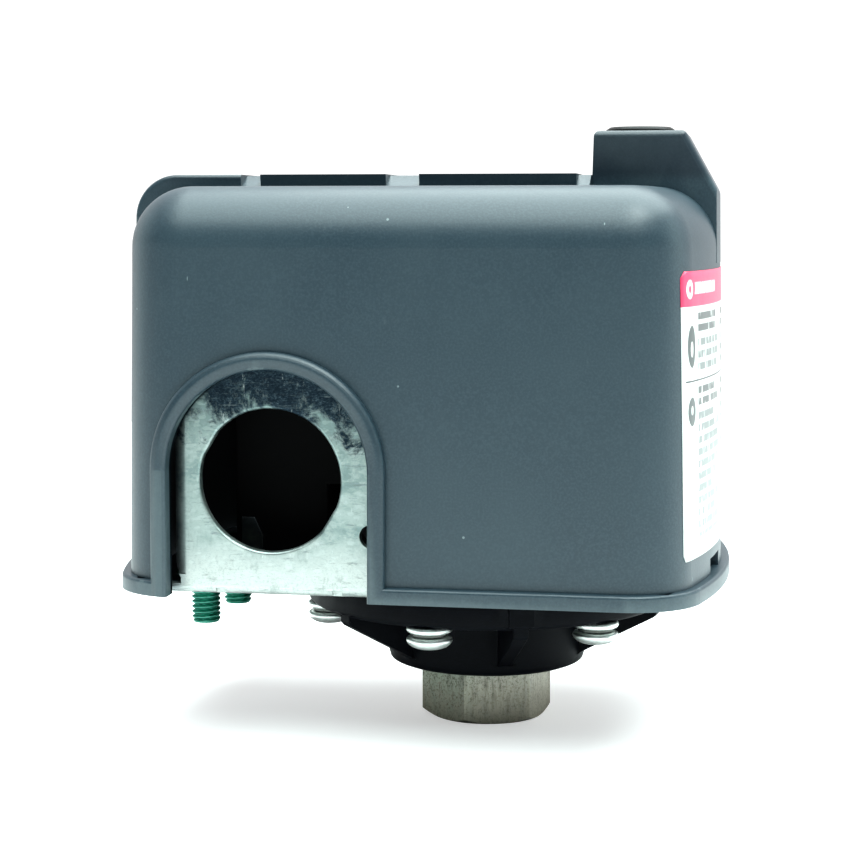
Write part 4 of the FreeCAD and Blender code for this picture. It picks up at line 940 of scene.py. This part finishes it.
def ease_edges():
    """Small real radii on the sharp edges of the pieces that stay as designed."""
    for name, width in BEVELLED.items():
        node = NODES[name]
        weld = node.modifiers.new("weld", "WELD")
        weld.merge_threshold = 0.002 * MM
        bevel = node.modifiers.new("edges", "BEVEL")
        bevel.width = width * MM
        bevel.segments = 2
        bevel.limit_method = "ANGLE"
        bevel.angle_limit = math.radians(40)
        bevel.use_clamp_overlap = False
        bevel.harden_normals = True


def carry_over(materials):
    """Gives every CAD node its slot's material, and the clips behind the conduit hole a darker one as painted
    shade.
    """
    for row in frame["record"]["subparts"]:
        node = NODES[row["node"]]
        node.data.materials.clear()
        node.data.materials.append(materials[row["material_slot"]])
    # Painted shade: the clips inside the case get a darker steel than the other plated parts.
    shaded_clip_steel = plated_steel("clip_steel_painted_shade", (0.12, 0.135, 0.145), 0.22)
    NODES["block_clips"].data.materials[0] = shaded_clip_steel


# ---- floor, light and camera ----


def stage():
    """A pale floor that ends in front of the object, like a table. Its glow thins the shadow."""
    mesh = bpy.data.meshes.new("floor")
    left, right, near, far = -0.75, 0.75, -0.62, 0.45
    corners = [(left, near, 0), (right, near, 0), (right, far, 0), (left, far, 0)]
    mesh.from_pydata(corners, [], [(0, 1, 2, 3)])
    floor = bpy.data.objects.new("floor", mesh)
    bpy.context.scene.collection.objects.link(floor)
    t = Tree("floor")
    speck = t.noise(3.0, 3.0)
    color = t.mix(speck, (0.80, 0.80, 0.80), (0.82, 0.82, 0.82))
    t.link(color, t.shader.inputs["Emission Color"])
    seen = t.nodes.new("ShaderNodeLightPath").outputs["Is Camera Ray"]
    t.link(t.math("MULTIPLY", seen, 0.5), t.shader.inputs["Emission Strength"])
    mesh.materials.append(t.finish(color, 0.9))


def area_light(name, place, target, size, power, color):
    """Rectangular lamp at a place, turned to its target."""
    light = bpy.data.lights.new(name, "AREA")
    light.shape = "RECTANGLE"
    light.size, light.size_y = size
    light.energy = power
    light.color = color
    lamp = bpy.data.objects.new(name, light)
    lamp.location = place
    lamp.rotation_euler = (Vector(target) - Vector(place)).to_track_quat("-Z", "Y").to_euler()
    bpy.context.scene.collection.objects.link(lamp)


def lights():
    """A broad soft box overhead, a small one for the near top corner, and two weak side lights."""
    middle_point = (0.0, 0.0, 0.05)
    corner_point = (0.03, -0.03, 0.08)
    area_light("overhead", (0.10, -0.02, 0.95), middle_point, (1.9, 1.2), 33.0, (0.87, 1.0, 0.98))
    area_light("corner", (0.26, -0.26, 0.82), corner_point, (0.22, 0.22), 1.6, (0.90, 1.0, 0.97))
    area_light("left", (-0.9, 0.25, 0.30), middle_point, (0.5, 0.7), 0.5, (0.72, 1.0, 0.96))
    area_light("right", (0.95, 0.15, 0.35), middle_point, (0.5, 0.7), 1.4, (0.76, 1.0, 0.97))


def surroundings():
    """White behind the object, dim in front of it, and plain white where the camera looks past the floor."""
    world = bpy.data.worlds.new("studio")
    bpy.context.scene.world = world
    world.use_nodes = True
    nodes = world.node_tree.nodes
    links = world.node_tree.links
    background = nodes["Background"]
    background.inputs["Color"].default_value = (1.0, 1.0, 1.0, 1.0)
    place = nodes.new("ShaderNodeTexCoord")
    axes = nodes.new("ShaderNodeSeparateXYZ")
    links.new(place.outputs["Generated"], axes.inputs[0])
    ramp = nodes.new("ShaderNodeMapRange")
    links.new(axes.outputs["Y"], ramp.inputs["Value"])
    for name, value in (("From Min", -0.6), ("From Max", 0.5), ("To Min", 0.07), ("To Max", 0.95)):
        ramp.inputs[name].default_value = value
    seen = nodes.new("ShaderNodeLightPath")
    pick = nodes.new("ShaderNodeMix")
    links.new(seen.outputs["Is Camera Ray"], pick.inputs["Factor"])
    links.new(ramp.outputs["Result"], pick.inputs["A"])
    pick.inputs["B"].default_value = 1.0
    links.new(pick.outputs["Result"], background.inputs["Strength"])


def camera():
    """The photograph's viewpoint."""
    data = bpy.data.cameras.new("camera")
    data.lens = CAMERA_LENS_MM
    data.sensor_width = SENSOR_MM
    data.clip_start = 0.01
    place = bpy.data.objects.new("camera", data)
    place.location = CAMERA_PLACE
    place.rotation_euler = Vector(CAMERA_FORWARD).to_track_quat("-Z", "Y").to_euler()
    bpy.context.scene.collection.objects.link(place)
    bpy.context.scene.camera = place


# ---- the whole scene ----

MATERIALS = {
    "cover_plastic": cover_plastic(),
    "black_plastic": black_plastic("black_plastic", (0.004, 0.0045, 0.005), 0.38, 0.2),
    "label": black_plastic("label", (0.8, 0.8, 0.8), 0.30, 0.5),
    "galvanised_steel": galvanised_steel(),
    "housing_plastic": housing_plastic(),
    "zinc_steel": plated_steel("zinc_steel", (0.90, 0.98, 0.93), 0.26, stain=(0.62, 0.68, 0.63), stained=0.2),
    "port_metal": port_metal(),
    "green_screw": green_screw(),
    "rubber": rubber(),
    "phenolic": black_plastic("phenolic", (0.0025, 0.0025, 0.003), 0.5, 0.08),
    "brass": plated_steel("brass", (0.66, 0.46, 0.17), 0.22, 2.0, (1, 0.4, 1), (0.30, 0.17, 0.06)),
    "contact_silver": plated_steel("contact_silver", (0.80, 0.79, 0.76), 0.18),
    "spring_steel": plated_steel("spring_steel", (0.30, 0.31, 0.33), 0.24, 1.0),
    "carrier_plastic": black_plastic("carrier_plastic", (0.115, 0.030, 0.016), 0.36),
}

carry_over(MATERIALS)
main_springs(MATERIALS["spring_steel"])
label_piece()
housing_screw_pieces(MATERIALS)
ground_screws(MATERIALS["green_screw"])
threaded_studs(MATERIALS["zinc_steel"])
moulded_diaphragm(MATERIALS["rubber"])
port_fitting(MATERIALS["port_metal"])
ease_edges()
stage()
lights()
surroundings()
camera()
bpy.context.scene.view_settings.view_transform = "Standard"
bpy.context.scene.view_settings.look = "Medium High Contrast"
